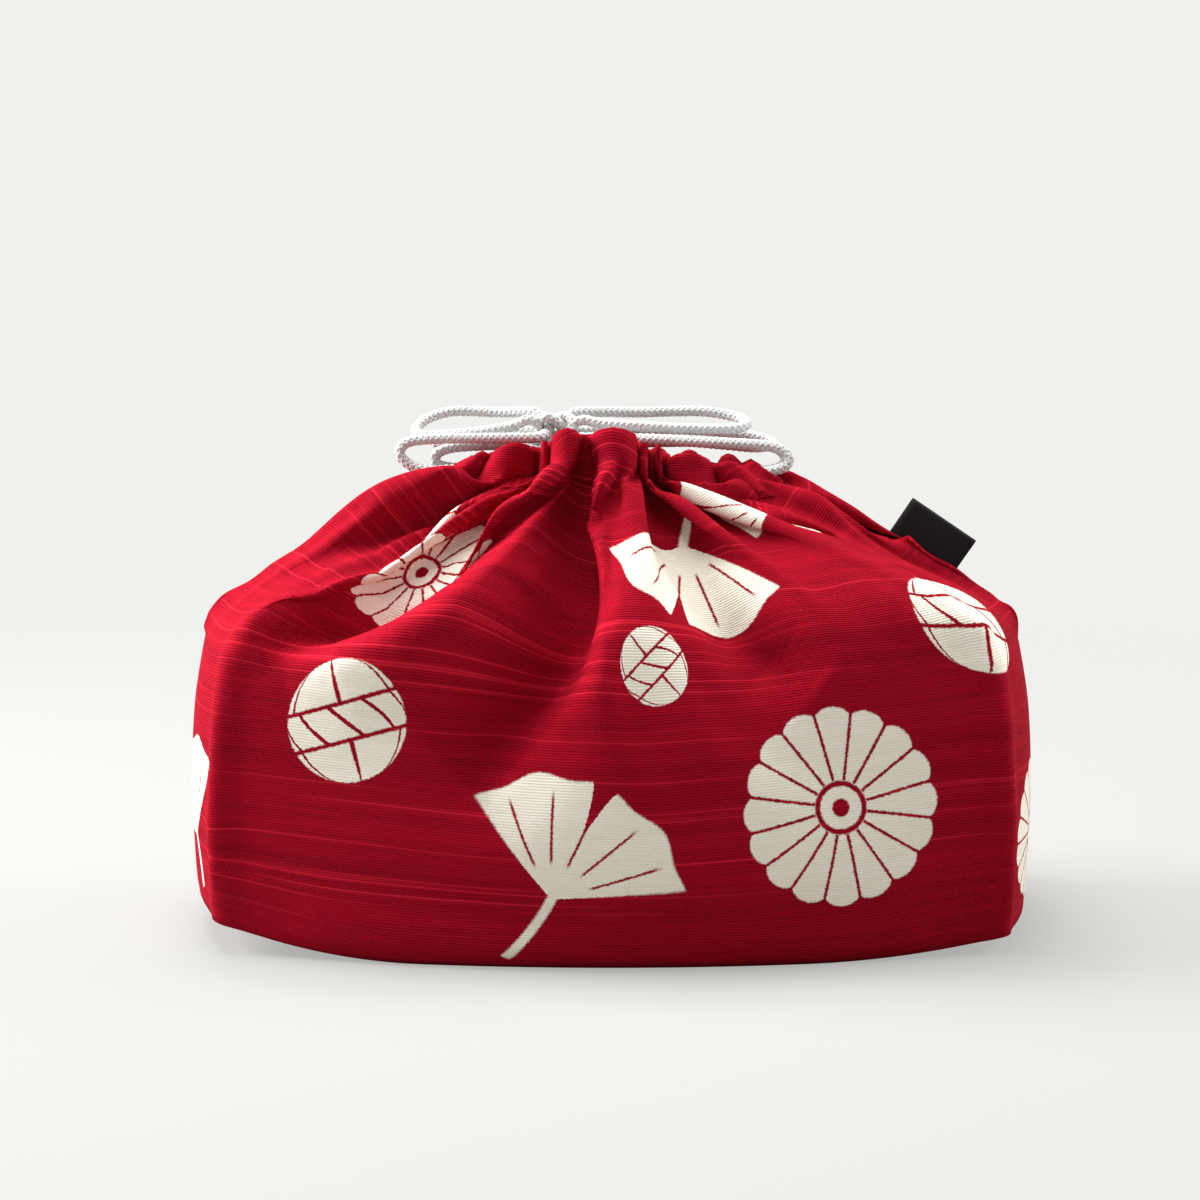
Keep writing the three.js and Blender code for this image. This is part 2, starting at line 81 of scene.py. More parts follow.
# A smooth line through chosen points
def through(points, fine=14):
    p = np.array(points, float)
    q = np.vstack([2 * p[0] - p[1], p, 2 * p[-1] - p[-2]])
    line = []
    for i in range(1, len(q) - 2):
        a, b, c, d = q[i - 1 : i + 3]
        for t in np.linspace(0, 1, fine, endpoint=False):
            cube = (3 * b - a - 3 * c + d) * t**3
            line.append(0.5 * (2 * b + (c - a) * t + (2 * a - 5 * b + 4 * c - d) * t * t + cube))
    line.append(p[-1])
    return np.array(line)


def addMesh(name, points, faces, edges=()):
    mesh = bpy.data.meshes.new(name)
    mesh.from_pydata(np.asarray(points, float).tolist(), list(edges), [tuple(map(int, f)) for f in faces])
    made = bpy.data.objects.new(name, mesh)
    scene.collection.objects.link(made)
    return made


def addLine(name, points):
    return addMesh(name, points, [], [(i, i + 1) for i in range(len(points) - 1)])


# A plain mesh of what an object's modifiers make; the first object goes
def settle(obj, name):
    graph = bpy.context.evaluated_depsgraph_get()
    mesh = bpy.data.meshes.new_from_object(obj.evaluated_get(graph))
    made = bpy.data.objects.new(name, mesh)
    scene.collection.objects.link(made)
    bpy.data.objects.remove(obj)
    made.name = mesh.name = name
    return made


# Faces of a grid of points, row by row; a closed grid joins its last column to its first
def gridFaces(rows, count, closed=False):
    return [(j * count + i, j * count + (i + 1) % count, (j + 1) * count + (i + 1) % count, (j + 1) * count + i)
            for j in range(rows - 1) for i in range(count if closed else count - 1)]


# Each point's place on the flat cloth, kept as a UV map
def layFlat(obj, values):
    layer = obj.data.uv_layers.new(name="flat")
    spots = np.zeros(len(obj.data.loops), int)
    obj.data.loops.foreach_get("vertex_index", spots)
    layer.data.foreach_set("uv", np.asarray(values)[spots].astype(np.float32).ravel())


# A sheet with its material and thickness
def thicken(obj, name, material, thickness, offset):
    obj.data.shade_smooth()
    obj.data.materials.append(material)
    body = obj.modifiers.new("body", "SOLIDIFY")
    body.thickness = thickness
    body.offset = offset
    return settle(obj, name)


# Nodes with their sockets filled: a socket takes a link, and anything else is a value
class Net:
    def __init__(self, tree):
        self.tree = tree

    def add(self, kind, settings=None, **inputs):
        node = self.tree.nodes.new(kind)
        for key, value in (settings or {}).items():
            setattr(node, key, value)
        for key, value in inputs.items():
            self.fill(node.inputs[key.replace("_", " ")], value)
        return node

    def fill(self, socket, value):
        if isinstance(value, bpy.types.NodeSocket):
            self.tree.links.new(value, socket)
        else:
            socket.default_value = value

    def math(self, operation, *values, kind="ShaderNodeMath"):
        node = self.add(kind, {"operation": operation})
        for socket, value in zip(node.inputs, values):
            self.fill(socket, value)
        return node.outputs[0]

    def plus(self, first, second):
        return self.math("ADD", first, second)

    def minus(self, first, second):
        return self.math("SUBTRACT", first, second)

    def times(self, first, second):
        return self.math("MULTIPLY", first, second)

    def larger(self, first, second):
        return self.math("MAXIMUM", first, second)

    def vector(self, operation, *values):
        return self.math(operation, *values, kind="ShaderNodeVectorMath")

    def scaled(self, vector, size):
        return self.add("ShaderNodeVectorMath", {"operation": "SCALE"}, Vector=vector, Scale=size).outputs[0]

    def noise(self, place, scale=1.0, detail=2.0):
        return self.add("ShaderNodeTexNoise", Vector=place, Scale=scale, Detail=detail).outputs[0]

    # A soft step from low to high
    def step(self, value, low, high, **ends):
        return self.add("ShaderNodeMapRange", {"interpolation_type": "SMOOTHSTEP"}, Value=value, From_Min=low,
                        From_Max=high, **ends).outputs[0]

    # 1 where value is below edge, with a soft step
    def below(self, value, edge, soft):
        return self.step(self.minus(value, edge), -soft, soft, To_Min=1.0, To_Max=0.0)

    def mix(self, share, first, second):
        node = self.tree.nodes.new("ShaderNodeMix")
        node.data_type = "RGBA"
        self.fill(node.inputs[0], share)
        self.fill(node.inputs[6], first)
        self.fill(node.inputs[7], second)
        return node.outputs[2]


def newGroup(name, kind, inputs, outputs):
    tree = bpy.data.node_groups.new(name, kind)
    for direction, sockets in (("INPUT", inputs), ("OUTPUT", outputs)):
        for label, what in sockets:
            tree.interface.new_socket(label, in_out=direction, socket_type="NodeSocket" + what)
    net = Net(tree)
    start = tree.nodes.new("NodeGroupInput")
    end = tree.nodes.new("NodeGroupOutput")
    return tree, net, start.outputs, end.inputs


def newMaterial(name):
    material = bpy.data.materials.new(name)
    material.use_nodes = True
    net = Net(material.node_tree)
    return material, net, material.node_tree.nodes["Principled BSDF"]


# What the surfaces share: a colour, how rough and how glossy they are, and a fine relief
def cover(net, shader, color, rough, gloss, relief=None, strength=0.0, depth=0.0):
    net.fill(shader.inputs["Base Color"], color)
    shader.inputs["Roughness"].default_value = rough
    shader.inputs["Specular IOR Level"].default_value = gloss
    if relief is not None:
        bump = net.add("ShaderNodeBump", Height=relief, Strength=strength, Distance=depth)
        net.fill(shader.inputs["Normal"], bump.outputs[0])


# 1 for what the camera sees, straight or by way of gloss or glass
def seenRay(net):
    ray = net.add("ShaderNodeLightPath").outputs
    return net.larger(ray["Is Camera Ray"],
                    net.larger(ray["Is Glossy Ray"], ray["Is Transmission Ray"]))


# Adds a node group as a modifier, with its named inputs set
def grow(obj, tree, **values):
    modifier = obj.modifiers.new(tree.name, "NODES")
    modifier.node_group = tree
    for item in tree.interface.items_tree:
        if item.in_out == "INPUT" and item.name in values:
            modifier[item.identifier] = values[item.name]
    return modifier


# Braided cord: eight strands, half of them winding each way, over and under in turn
cordSet = {"diameter": 0.0029, "strands": 8, "pitch": 0.0066, "lay": 0.00098, "wave": 0.00009,
           "strand": 0.00053, "core": 0.00122, "coreSides": 10, "step": 0.0005, "sides": 6,
           "rough": 0.85, "gloss": 0.5, "sheen": 0.25, "soft": 0.12, "softReach": (0.001, 0.001, 0.001), "relief": 0.35,
           "color": (0.67, 0.685, 0.67, 1), "shade": (0.57, 0.585, 0.585, 1)}


def makeCordMaterial():
    material, net, shader = newMaterial("braidedCotton")
    place = net.add("ShaderNodeTexCoord").outputs["Object"]
    fuzz = net.noise(place, 5200.0)
    tint = net.noise(place, 240.0)
    color = net.mix(tint, cordSet["shade"], cordSet["color"])
    cover(net, shader, color, cordSet["rough"], cordSet["gloss"], fuzz, cordSet["relief"], 0.0002)
    shader.inputs["Sheen Weight"].default_value = cordSet["sheen"]
    shader.inputs["Subsurface Weight"].default_value = cordSet["soft"]
    shader.inputs["Subsurface Radius"].default_value = cordSet["softReach"]
    return material


def makeBraid():
    inputs = [("Geometry", "Geometry"), ("Pitch", "Float"), ("Lay", "Float"), ("Wave", "Float"),
              ("Strand", "Float"), ("Material", "Material")]
    tree, net, given, out = newGroup("braid", "GeometryNodeTree", inputs, [("Geometry", "Geometry")])
    line = net.add("GeometryNodeMeshToCurve", Mesh=given["Geometry"]).outputs[0]
    copies = net.add("GeometryNodeDuplicateElements", {"domain": "SPLINE"}, Geometry=line, Amount=cordSet["strands"])
    index = copies.outputs["Duplicate Index"]
    along = net.add("GeometryNodeSplineParameter").outputs["Length"]
    way = net.minus(net.times(net.math("MODULO", index, 2.0), 2.0), 1.0)
    wind = net.math("DIVIDE", net.times(along, 2 * math.pi), given["Pitch"])
    quarter = net.times(net.math("FLOOR", net.math("DIVIDE", index, 2.0)), math.pi / 2)
    angle = net.plus(net.times(wind, way), quarter)
    weave = net.times(net.math("COSINE", net.times(wind, 4.0)), given["Wave"])
    reach = net.plus(given["Lay"], net.times(weave, way))
    normal = net.add("GeometryNodeInputNormal").outputs[0]
    side = net.vector("CROSS_PRODUCT", net.add("GeometryNodeInputTangent").outputs[0], normal)
    across = net.scaled(normal, net.times(reach, net.math("COSINE", angle)))
    up = net.scaled(side, net.times(reach, net.math("SINE", angle)))
    moved = net.add("GeometryNodeSetPosition", Geometry=copies.outputs[0], Offset=net.vector("ADD", across, up))
    ring = net.add("GeometryNodeCurvePrimitiveCircle", Resolution=cordSet["sides"], Radius=given["Strand"])
    tube = net.add("GeometryNodeCurveToMesh", Curve=moved.outputs[0], Profile_Curve=ring.outputs[0], Fill_Caps=True)
    inner = net.add("GeometryNodeCurvePrimitiveCircle", Resolution=cordSet["coreSides"], Radius=cordSet["core"])
    core = net.add("GeometryNodeCurveToMesh", Curve=line, Profile_Curve=inner.outputs[0], Fill_Caps=True)
    both = net.add("GeometryNodeJoinGeometry")
    for part in (core, tube):
        net.fill(both.inputs[0], part.outputs[0])
    smooth = net.add("GeometryNodeSetShadeSmooth", Geometry=both.outputs[0])
    real = net.add("GeometryNodeRealizeInstances", Geometry=smooth.outputs[0])
    painted = net.add("GeometryNodeSetMaterial", Geometry=real.outputs[0], Material=given["Material"])
    net.fill(out["Geometry"], painted.outputs[0])
    return tree


cordMaterial = makeCordMaterial()
braid = makeBraid()


def braidedCord(name, points):
    line = through(points)
    length = np.sum(np.linalg.norm(np.diff(line, axis=0), axis=1))
    line = evenly(line, max(8, int(length / cordSet["step"])))
    host = addLine(name, line)
    grow(host, braid, Pitch=cordSet["pitch"], Lay=cordSet["lay"], Wave=cordSet["wave"],
         Strand=cordSet["strand"], Material=cordMaterial)
    made = settle(host, name)
    return made, line, length


# Where the cords go, in millimetres from the knot's middle. A knot end is a direction out of the knot.
knotAt = np.array([-15.7, 9.0, 136.6])
knotReach = (4.2, 8.4)


def knotEnd(direction, outwards):
    d = np.array(direction) / np.linalg.norm(direction)
    pair = [d * reach for reach in knotReach]
    return pair if outwards else pair[::-1]


strands = {
    "left_strand_front": (
        [(-20.6, -10.8, -12), (-24.8, -11.2, -11), (-28.6, -11.4, -10.2), (-34.5, -10.2, -10.6), (-40, -9, -9.4),
         (-43.4, -8.2, -6.2), (-41.4, -7.6, -3), (-34.5, -7.4, -2), (-24, -7.5, -1.8), (-13, -7.6, -1.7)],
        (-0.62, -0.76, -0.2)),
    "left_strand_back": (
        [(-19.8, -6.6, -10.6), (-24.8, -6.2, -10.2), (-29, -5.8, -10.2), (-33, -5.4, -9.2), (-33.4, -5.1, -6.6),
         (-29.2, -4.8, -4.7), (-20.5, -5, -4), (-12, -5.4, -4)],
        (-0.5, -0.55, -0.67)),
    "right_strand_front": (
        [(51.2, -11.2, -11.4), (56.2, -11.4, -11), (60.3, -11.2, -10.6), (64.4, -9.8, -9.2), (64.8, -9, -6.4),
         (60.7, -8.4, -4.1), (49.7, -8.4, -3.2), (35.7, -8.4, -2.6), (23.7, -8.2, -2), (14, -7.4, -1.6)],
        (0.62, -0.76, -0.2)),
    "right_strand_back": (
        [(51.2, -6.6, -11.4), (56.2, -6.2, -11), (60.2, -5.8, -10.8), (63.6, -5.4, -9.6), (64.2, -5, -6.8),
         (60.4, -4.4, -4.4), (49.7, -4.4, -3.4), (35.7, -4.6, -3), (23.7, -4.7, -3.2), (12, -4.8, -3.4)],
        (0.5, -0.55, -0.67)),
}
loops = {
    "left_loop_upper": ((-0.75, 0.35, 0.56), [(-17, 9, 4.2), (-29, 10.4, 4.4), (-36.6, 8, 2.4), (-39.6, 3, -0.6),
                        (-35.6, -1.4, -1.6), (-21.3, -2.4, -0.4), (-12, -1.4, 1.2)], (-0.93, -0.1, 0.33)),
    "left_loop_lower": ((-0.85, 0.1, -0.5), [(-20, 2.6, -4), (-29, 3.6, -4.2), (-34.6, 7.8, -4),
                        (-29, 12, -2.8), (-18, 10.6, -1.4)], (-0.75, 0.65, -0.1)),
    "right_loop_upper": ((0.75, 0.35, 0.56), [(23.7, 9, 4.2), (40.7, 10.4, 4.4), (50.4, 8, 3.2), (54, 3, 1.6),
                         (50, -1.6, 0.4), (36, -3.4, 0.6), (22, -3.4, 1.4), (12, -1.6, 2)], (0.93, -0.1, 0.33)),
    "right_loop_lower": ((0.85, 0.1, -0.5), [(24, 1, -2.6), (46, 1.4, -4.2), (56.6, 2.4, -5.2), (61.6, 7, -4.4),
                         (55, 11.6, -2.6), (38, 12, -1), (20, 10.4, -0.8)], (0.75, 0.65, -0.1)),
    "left_tail": ((-0.42, 0.78, -0.46), [(-5, 12.4, -8.6), (-6, 14.2, -16), (-7.4, 17.4, -23.4), (-9.6, 22.6, -26.9),
                  (-13, 30, -29.4), (-16.6, 37.4, -35), (-17.4, 43, -39.4), (-14, 45.6, -39.4), (-10.6, 43.2, -37.4),
                  (-8.6, 37.6, -33.1), (-6.4, 29, -26.9), (-4.4, 20.6, -18), (-3.4, 16, -14.8), (-2.8, 13.8, -9)],
                  (-0.3, 0.93, 0.2)),
    "right_tail": ((0.3, 0.93, 0.2), [(2.8, 13.8, -8), (3.4, 16, -12.6), (4.6, 20.6, -21.4), (6.6, 28, -28),
                   (9, 34.6, -33.3), (11.6, 38.6, -38.4), (14.8, 39.6, -44.4), (17, 36.6, -43.8), (14.6, 29.4, -34.4),
                   (11, 22.6, -25.9), (8, 17.4, -21.4), (6.4, 14.2, -12.6), (5, 12.4, -8.6)],
                   (0.42, 0.78, -0.46)),
}
loopBody = {"left_loop_upper": "left_loop", "left_loop_lower": "left_loop",
            "right_loop_upper": "right_loop", "right_loop_lower": "right_loop",
            "left_tail": "bag", "right_tail": "bag"}

cords = {}
for name, (points, direction) in strands.items():
    cords[name] = [np.array(p) for p in points] + knotEnd(direction, False)
for name, (first, points, last) in loops.items():
    cords[name] = knotEnd(first, True) + [np.array(p) for p in points] + knotEnd(last, False)

for name, points in cords.items():
    made, line, length = braidedCord(name, (np.array(points) + knotAt) * mm)
    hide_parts(name)
    if name.endswith("strand_front"):
        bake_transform(made)
    else:
        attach(made, loopBody.get(name, "bag"))

# The knot: one overhand turn drawn tight
knotSet = {"size": 1.75, "flat": 1.7, "points": 60}
turn = np.linspace(0, 2 * math.pi, knotSet["points"])
knotLine = np.column_stack([(np.sin(turn) + 2 * np.sin(2 * turn)) * knotSet["size"],
                            (np.cos(turn) - 2 * np.cos(2 * turn)) * knotSet["size"],
                            -np.sin(3 * turn) * knotSet["flat"]])
knotLine = knotLine[:, [0, 2, 1]]
knotPiece, _, _ = braidedCord("bow_knot", (knotLine + knotAt) * mm)
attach(knotPiece, "bag")
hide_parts("bow_knot")
print("cords made", len(cords) + 1)

# Cloth, cut flat and drawn together. Millimetres; the front is side -1 and the back side 1.
clothSet = {"columns": 168, "rows": 62, "length": 236.5, "depth": 126.0, "cornerX": 0.91, "cornerY": 0.74,
            "soften": 5, "shoulder": 88.0, "rim": 0.955, "band": 9.0, "slack": 6.0, "slit": 46.0, "lean": 0.3,
            "endTilt": 34.0, "thick": 0.0008, "leftLift": 8.5, "rightLift": 4.5, "flat": 52.0, "curl": 56.0,
            "tuck": 0.018, "tuckHigh": 14, "liftHigh": 40, "mouthEnd": 39.0, "endOut": -3.2, "endTops": (130, 129),
            "pleatIn": 8.0, "pleatEnd": -5.4, "seamColumns": 15, "evenOut": 12}
# Pleats of the two lips: place along the mouth, how far out, half width, and height of the top edge
frontPleats = [(-35.4, -9.5, 2.6, 132.4), (-26.3, -13, 5.6, 135.0), (-18.5, -13.5, 1.6, 135.8),
               (-12.1, -18, 4.1, 139.4), (0.3, -18, 6.5, 139.6), (9, -15, 1.6, 135.4), (12.8, -14, 1.6, 134.6),
               (20.8, -13, 5.8, 132.4), (32, -9.5, 4, 129.8)]
backPleats = [(-33, -9, 3.4, 130.6), (-24, -13, 3.6, 131.2), (-14, -14, 3.6, 131.4), (-5, -14.5, 3.6, 131.6),
              (4, -14.5, 3.6, 131.6), (13, -14, 3.6, 131.4), (22, -13, 3.6, 130.8), (33, -9, 3.4, 130)]
# A pleat's section: share of its half width, how much less far out, and how much lower at the top edge
pleatOut = [(-1, 4), (-0.62, 0.8), (0, 0), (0.62, 0.8), (1, 4)]
pleatTop = [(-1, 2.4), (-0.55, 0.7), (0, 0), (0.55, 0.7), (1, 2.4)]
simSet = {"scale": 10.0, "frames": 44, "gather": 28, "gravity": -9.81 * 0.6, "gap": 0.006, "grip": 8, "hitQuality": 3}
drapeSet = {"quality": 7, "mass": 0.25, "tension_stiffness": 40.0, "compression_stiffness": 40.0,
            "shear_stiffness": 15.0, "bending_stiffness": 14.0, "tension_damping": 10, "compression_damping": 10,
            "shear_damping": 10, "bending_damping": 2, "air_damping": 3, "vertex_group_mass": "held",
            "use_pressure": True, "uniform_pressure_force": 0.6}
columns, rowCount = clothSet["columns"], clothSet["rows"] + 1
heights = np.linspace(0, 1, rowCount)


def arc(first, control, last, count=60):
    t = np.linspace(0, 1, count)[:, None]
    return np.array(first) * (1 - t) ** 2 + 2 * np.array(control) * t * (1 - t) + np.array(last) * t**2


# Half of an oblong with bowed sides and softened corners, from the left seam round the front to the right one
def halfPlan(length, depth, count):
    x, y = length / 2, depth / 2
    cornerX, cornerY = x * clothSet["cornerX"], y * clothSet["cornerY"]
    side = arc((-x, 0), (-x, -cornerY * 0.55), (-cornerX, -cornerY))
    face = arc((-cornerX, -cornerY), (-cornerX * 0.5, -y), (0, -y))
    left = evenly(np.vstack([side, face[1:]]), 160)
    for _ in range(clothSet["soften"]):
        left[1:-1] = (left[:-2] + 2 * left[1:-1] + left[2:]) / 4
    right = left[::-1] * [-1, 1]
    return evenly(np.vstack([left, right[1:]]), count)


plan = halfPlan(clothSet["length"], clothSet["depth"], columns)


def mouthLine(pleats):
    points = [(-clothSet["mouthEnd"], clothSet["endOut"])]
    for k, (x, y, half, _) in enumerate(pleats):
        points += [(x + share * half, y + less) for share, less in pleatOut]
        if k + 1 < len(pleats):
            nextX, nextY, nextHalf, _ = pleats[k + 1]
            deep = min(max(y, nextY) + clothSet["pleatIn"], clothSet["pleatEnd"])
            points.append(((x + half + nextX - nextHalf) / 2, deep))
    points.append((clothSet["mouthEnd"], clothSet["endOut"]))
    return evenly(through(points), columns)


def topLine(pleats):
    across, up = [-clothSet["mouthEnd"]], [clothSet["endTops"][0]]
    for x, _, half, top in pleats:
        across += [x + share * half for share, _ in pleatTop]
        up += [top - lower for _, lower in pleatTop]
    return across + [clothSet["mouthEnd"]], up + [clothSet["endTops"][1]]


mouths = {-1: mouthLine(frontPleats), 1: mouthLine(backPleats)}
tops = {-1: topLine(frontPleats), 1: topLine(backPleats)}


# The gathered lip, at a distance below its top edge
def lipRow(side, below):
    x, y = mouths[side][:, 0], -side * mouths[side][:, 1]
    middle = np.clip(1 - (x / clothSet["mouthEnd"]) ** 2, 0, 1)
    tilt = np.radians(clothSet["endTilt"] + (90 - clothSet["endTilt"]) * np.clip(middle * 1.5, 0, 1))
    return np.column_stack([x + np.sign(x) * np.cos(tilt) * below, y + side * clothSet["lean"] * middle * below,
                            np.interp(x, *tops[side]) - np.sin(tilt) * below])


# How high each column of the cloth is cut, so that it reaches the lip with a little slack
def cutHeights(side):
    rim = np.column_stack([plan[:, 0] * clothSet["rim"], plan[:, 1] * clothSet["rim"] * -side,
                           np.full(columns + 1, clothSet["shoulder"])])
    reach = np.linalg.norm(rim - lipRow(side, clothSet["band"]), axis=1)
    high = clothSet["shoulder"] + reach + clothSet["band"] + clothSet["slack"]
    return averaged(high, clothSet["evenOut"])


cuts = {side: cutHeights(side) for side in (-1, 1)}
fromEdge = np.minimum(np.arange(columns + 1), columns - np.arange(columns + 1))
atSeam = np.clip(1 - fromEdge / clothSet["seamColumns"], 0, 1)
meanCut = (cuts[-1] + cuts[1]) / 2
cuts = {side: cuts[side] * (1 - atSeam) + meanCut * atSeam for side in cuts}
pinnedRows = np.nonzero((1 - heights) * meanCut.mean() <= clothSet["band"])[0]


def baseLift(x):
    past = np.maximum(0, np.abs(x) - clothSet["flat"]) / clothSet["curl"]
    return np.where(x < 0, clothSet["leftLift"], clothSet["rightLift"]) * past**2


def openCloth(side):
    grid = np.zeros((rowCount, columns + 1, 3))
    for j, share in enumerate(heights):
        high = share * cuts[side]
        tuck = 1 - clothSet["tuck"] * (1 - smoothStep(0, clothSet["tuckHigh"], high))
        grid[j, :, 0] = plan[:, 0] * tuck
        grid[j, :, 1] = plan[:, 1] * tuck * -side
        grid[j, :, 2] = high + baseLift(plan[:, 0]) * (1 - smoothStep(0, clothSet["liftHigh"], high))
    return grid


def tiedCloth(side):
    grid = openCloth(side)
    for j in pinnedRows:
        grid[j] = lipRow(side, meanCut.mean() * (1 - heights[j]))
    return grid


# What fills the bag while the cloth is drawn over it: walls as height, length and depth, then a roof whose ends and
# faces slope down (height, how far level, slope) and meet in soft valleys
fillSet = {"walls": ((2, 226, 121), (14, 231, 123), (36, 234, 124), (64, 232, 123), (80, 226, 120)),
           "eaves": (222, 118), "shares": (0.985, 0.95, 0.9, 0.8, 0.7, 0.6, 0.5, 0.4, 0.3, 0.2, 0.1),
           "ends": (124, 37, 0.48), "faces": (117, 10, 0.58), "valley": (4, 9), "edge": (3, 0.9, 0.085), "peak": 115,
           "points": 80}


def fillBag(scale):
    def ringOf(length, depth):
        half = halfPlan(length, depth, fillSet["points"])
        return np.vstack([half[:-1], -half[:-1]])

    def slope(distance, high, level, fall):
        return high - np.maximum(np.abs(distance) - level, 0) * fall

    levels = []
    for z, length, depth in fillSet["walls"]:
        ring = ringOf(length, depth)
        levels.append(np.column_stack([ring, np.full(len(ring), z)]))
    eaves = ringOf(*fillSet["eaves"])
    valleyDeep, valleyWide = fillSet["valley"]
    edgeDrop, edgeFrom, edgeWide = fillSet["edge"]
    for share in fillSet["shares"]:
        ring = eaves * share
        ends, faces = slope(ring[:, 0], *fillSet["ends"]), slope(ring[:, 1], *fillSet["faces"])
        roof = np.minimum(ends, faces) - valleyDeep * np.exp(-(((ends - faces) / valleyWide) ** 2))
        levels.append(np.column_stack([ring, roof - edgeDrop * np.clip((share - edgeFrom) / edgeWide, 0, 1)]))
    count = len(eaves)
    points = np.vstack(levels + [[[0, 0, fillSet["peak"]]]])
    quads = gridFaces(len(levels), count, True)
    last = (len(levels) - 1) * count
    quads += [(last + i, last + (i + 1) % count, len(points) - 1) for i in range(count)]
    body = addMesh("filling", points * mm * scale, quads)
    body.modifiers.new("collision", "COLLISION")
    body.collision.thickness_outer = simSet["gap"]
    body.collision.cloth_friction = simSet["grip"]
    return body


# Draws the open bag shut: both halves are one tube, joined at the side seams up to the slits
def drawShut():
    scale = simSet["scale"]
    front = np.arange(rowCount * (columns + 1)).reshape(rowCount, columns + 1)
    back = front + front.size
    joined = (1 - heights) * meanCut.mean() >= clothSet["slit"]
    for seam in (0, columns):
        back[joined, seam] = front[joined, seam]
    used, renumbered = np.unique(np.concatenate([front.ravel(), back.ravel()]), return_inverse=True)
    front = renumbered[: front.size].reshape(front.shape)
    back = renumbered[front.size :].reshape(front.shape)

    def points(maker):
        made = np.zeros((len(used), 3))
        made[back.ravel()] = maker(1).reshape(-1, 3)
        made[front.ravel()] = maker(-1).reshape(-1, 3)
        return made * mm * scale

    quads = []
    for ids, order in ((front, 1), (back, -1)):
        for j in range(rowCount - 1):
            for i in range(columns):
                quad = (ids[j, i], ids[j, i + 1], ids[j + 1, i + 1], ids[j + 1, i])
                quads.append(quad[::order])
    cloth = addMesh("drawn", points(openCloth), quads)
    cloth.shape_key_add(name="open")
    tied = cloth.shape_key_add(name="tied")
    tied.data.foreach_set("co", points(tiedCloth).astype(np.float32).ravel())
    for value, at in ((0, 1), (1, simSet["gather"])):
        tied.value = value
        tied.keyframe_insert("value", frame=at)
    held = np.unique(np.concatenate([ids[[0, *pinnedRows]].ravel() for ids in (front, back)]))
    cloth.vertex_groups.new(name="held").add([int(i) for i in held], 1.0, "REPLACE")
    filling = fillBag(scale)
    modifier = cloth.modifiers.new("cloth", "CLOTH")
    for key, value in drapeSet.items():
        setattr(modifier.settings, key, value)
    modifier.collision_settings.distance_min = simSet["gap"]
    modifier.collision_settings.collision_quality = simSet["hitQuality"]
    modifier.point_cache.frame_start = 1
    modifier.point_cache.frame_end = simSet["frames"]
    gravity = scene.gravity.copy()
    scene.gravity = (0, 0, simSet["gravity"])
    scene.frame_start = 1
    scene.frame_end = simSet["frames"]
    for at in range(1, simSet["frames"] + 1):
        scene.frame_set(at)
    shaped = cloth.evaluated_get(bpy.context.evaluated_depsgraph_get())
    flat = np.zeros(len(used) * 3, np.float32)
    shaped.data.vertices.foreach_get("co", flat)
    placed = flat.reshape(-1, 3).astype(float) / scale
    bpy.data.objects.remove(cloth)
    bpy.data.objects.remove(filling)
    scene.gravity = gravity
    scene.frame_set(1)
    return {-1: placed[front], 1: placed[back]}


shapes = drawShut()
print("cloth drawn shut", [np.round(s.reshape(-1, 3).min(0) / mm).tolist() for s in shapes.values()])


# Outward normals of a grid of points
def gridNormals(grid, side):
    across = np.gradient(grid, axis=1)
    along = np.gradient(grid, axis=0)
    normal = np.cross(across, along)
    normal /= np.maximum(np.linalg.norm(normal, axis=2, keepdims=True), 1e-12)
    return normal if side < 0 else -normal


def relax(grid, times):
    for _ in range(times):
        inner = (grid[:-2, 1:-1] + grid[2:, 1:-1] + grid[1:-1, :-2] + grid[1:-1, 2:]) / 4
        grid[1:-1, 1:-1] = grid[1:-1, 1:-1] * 0.5 + inner * 0.5
    return grid


# Twice as many points along an axis, on a smooth line through those given
def finer(values, axis):
    a = np.moveaxis(values, axis, 0)
    wide = np.concatenate([[2 * a[0] - a[1]], a, [2 * a[-1] - a[-2]]])
    made = np.empty((2 * len(a) - 1,) + a.shape[1:])
    made[::2] = a
    made[1::2] = (9 * (wide[1:-2] + wide[2:-1]) - wide[:-3] - wide[3:]) / 16
    return np.moveaxis(made, 0, axis)


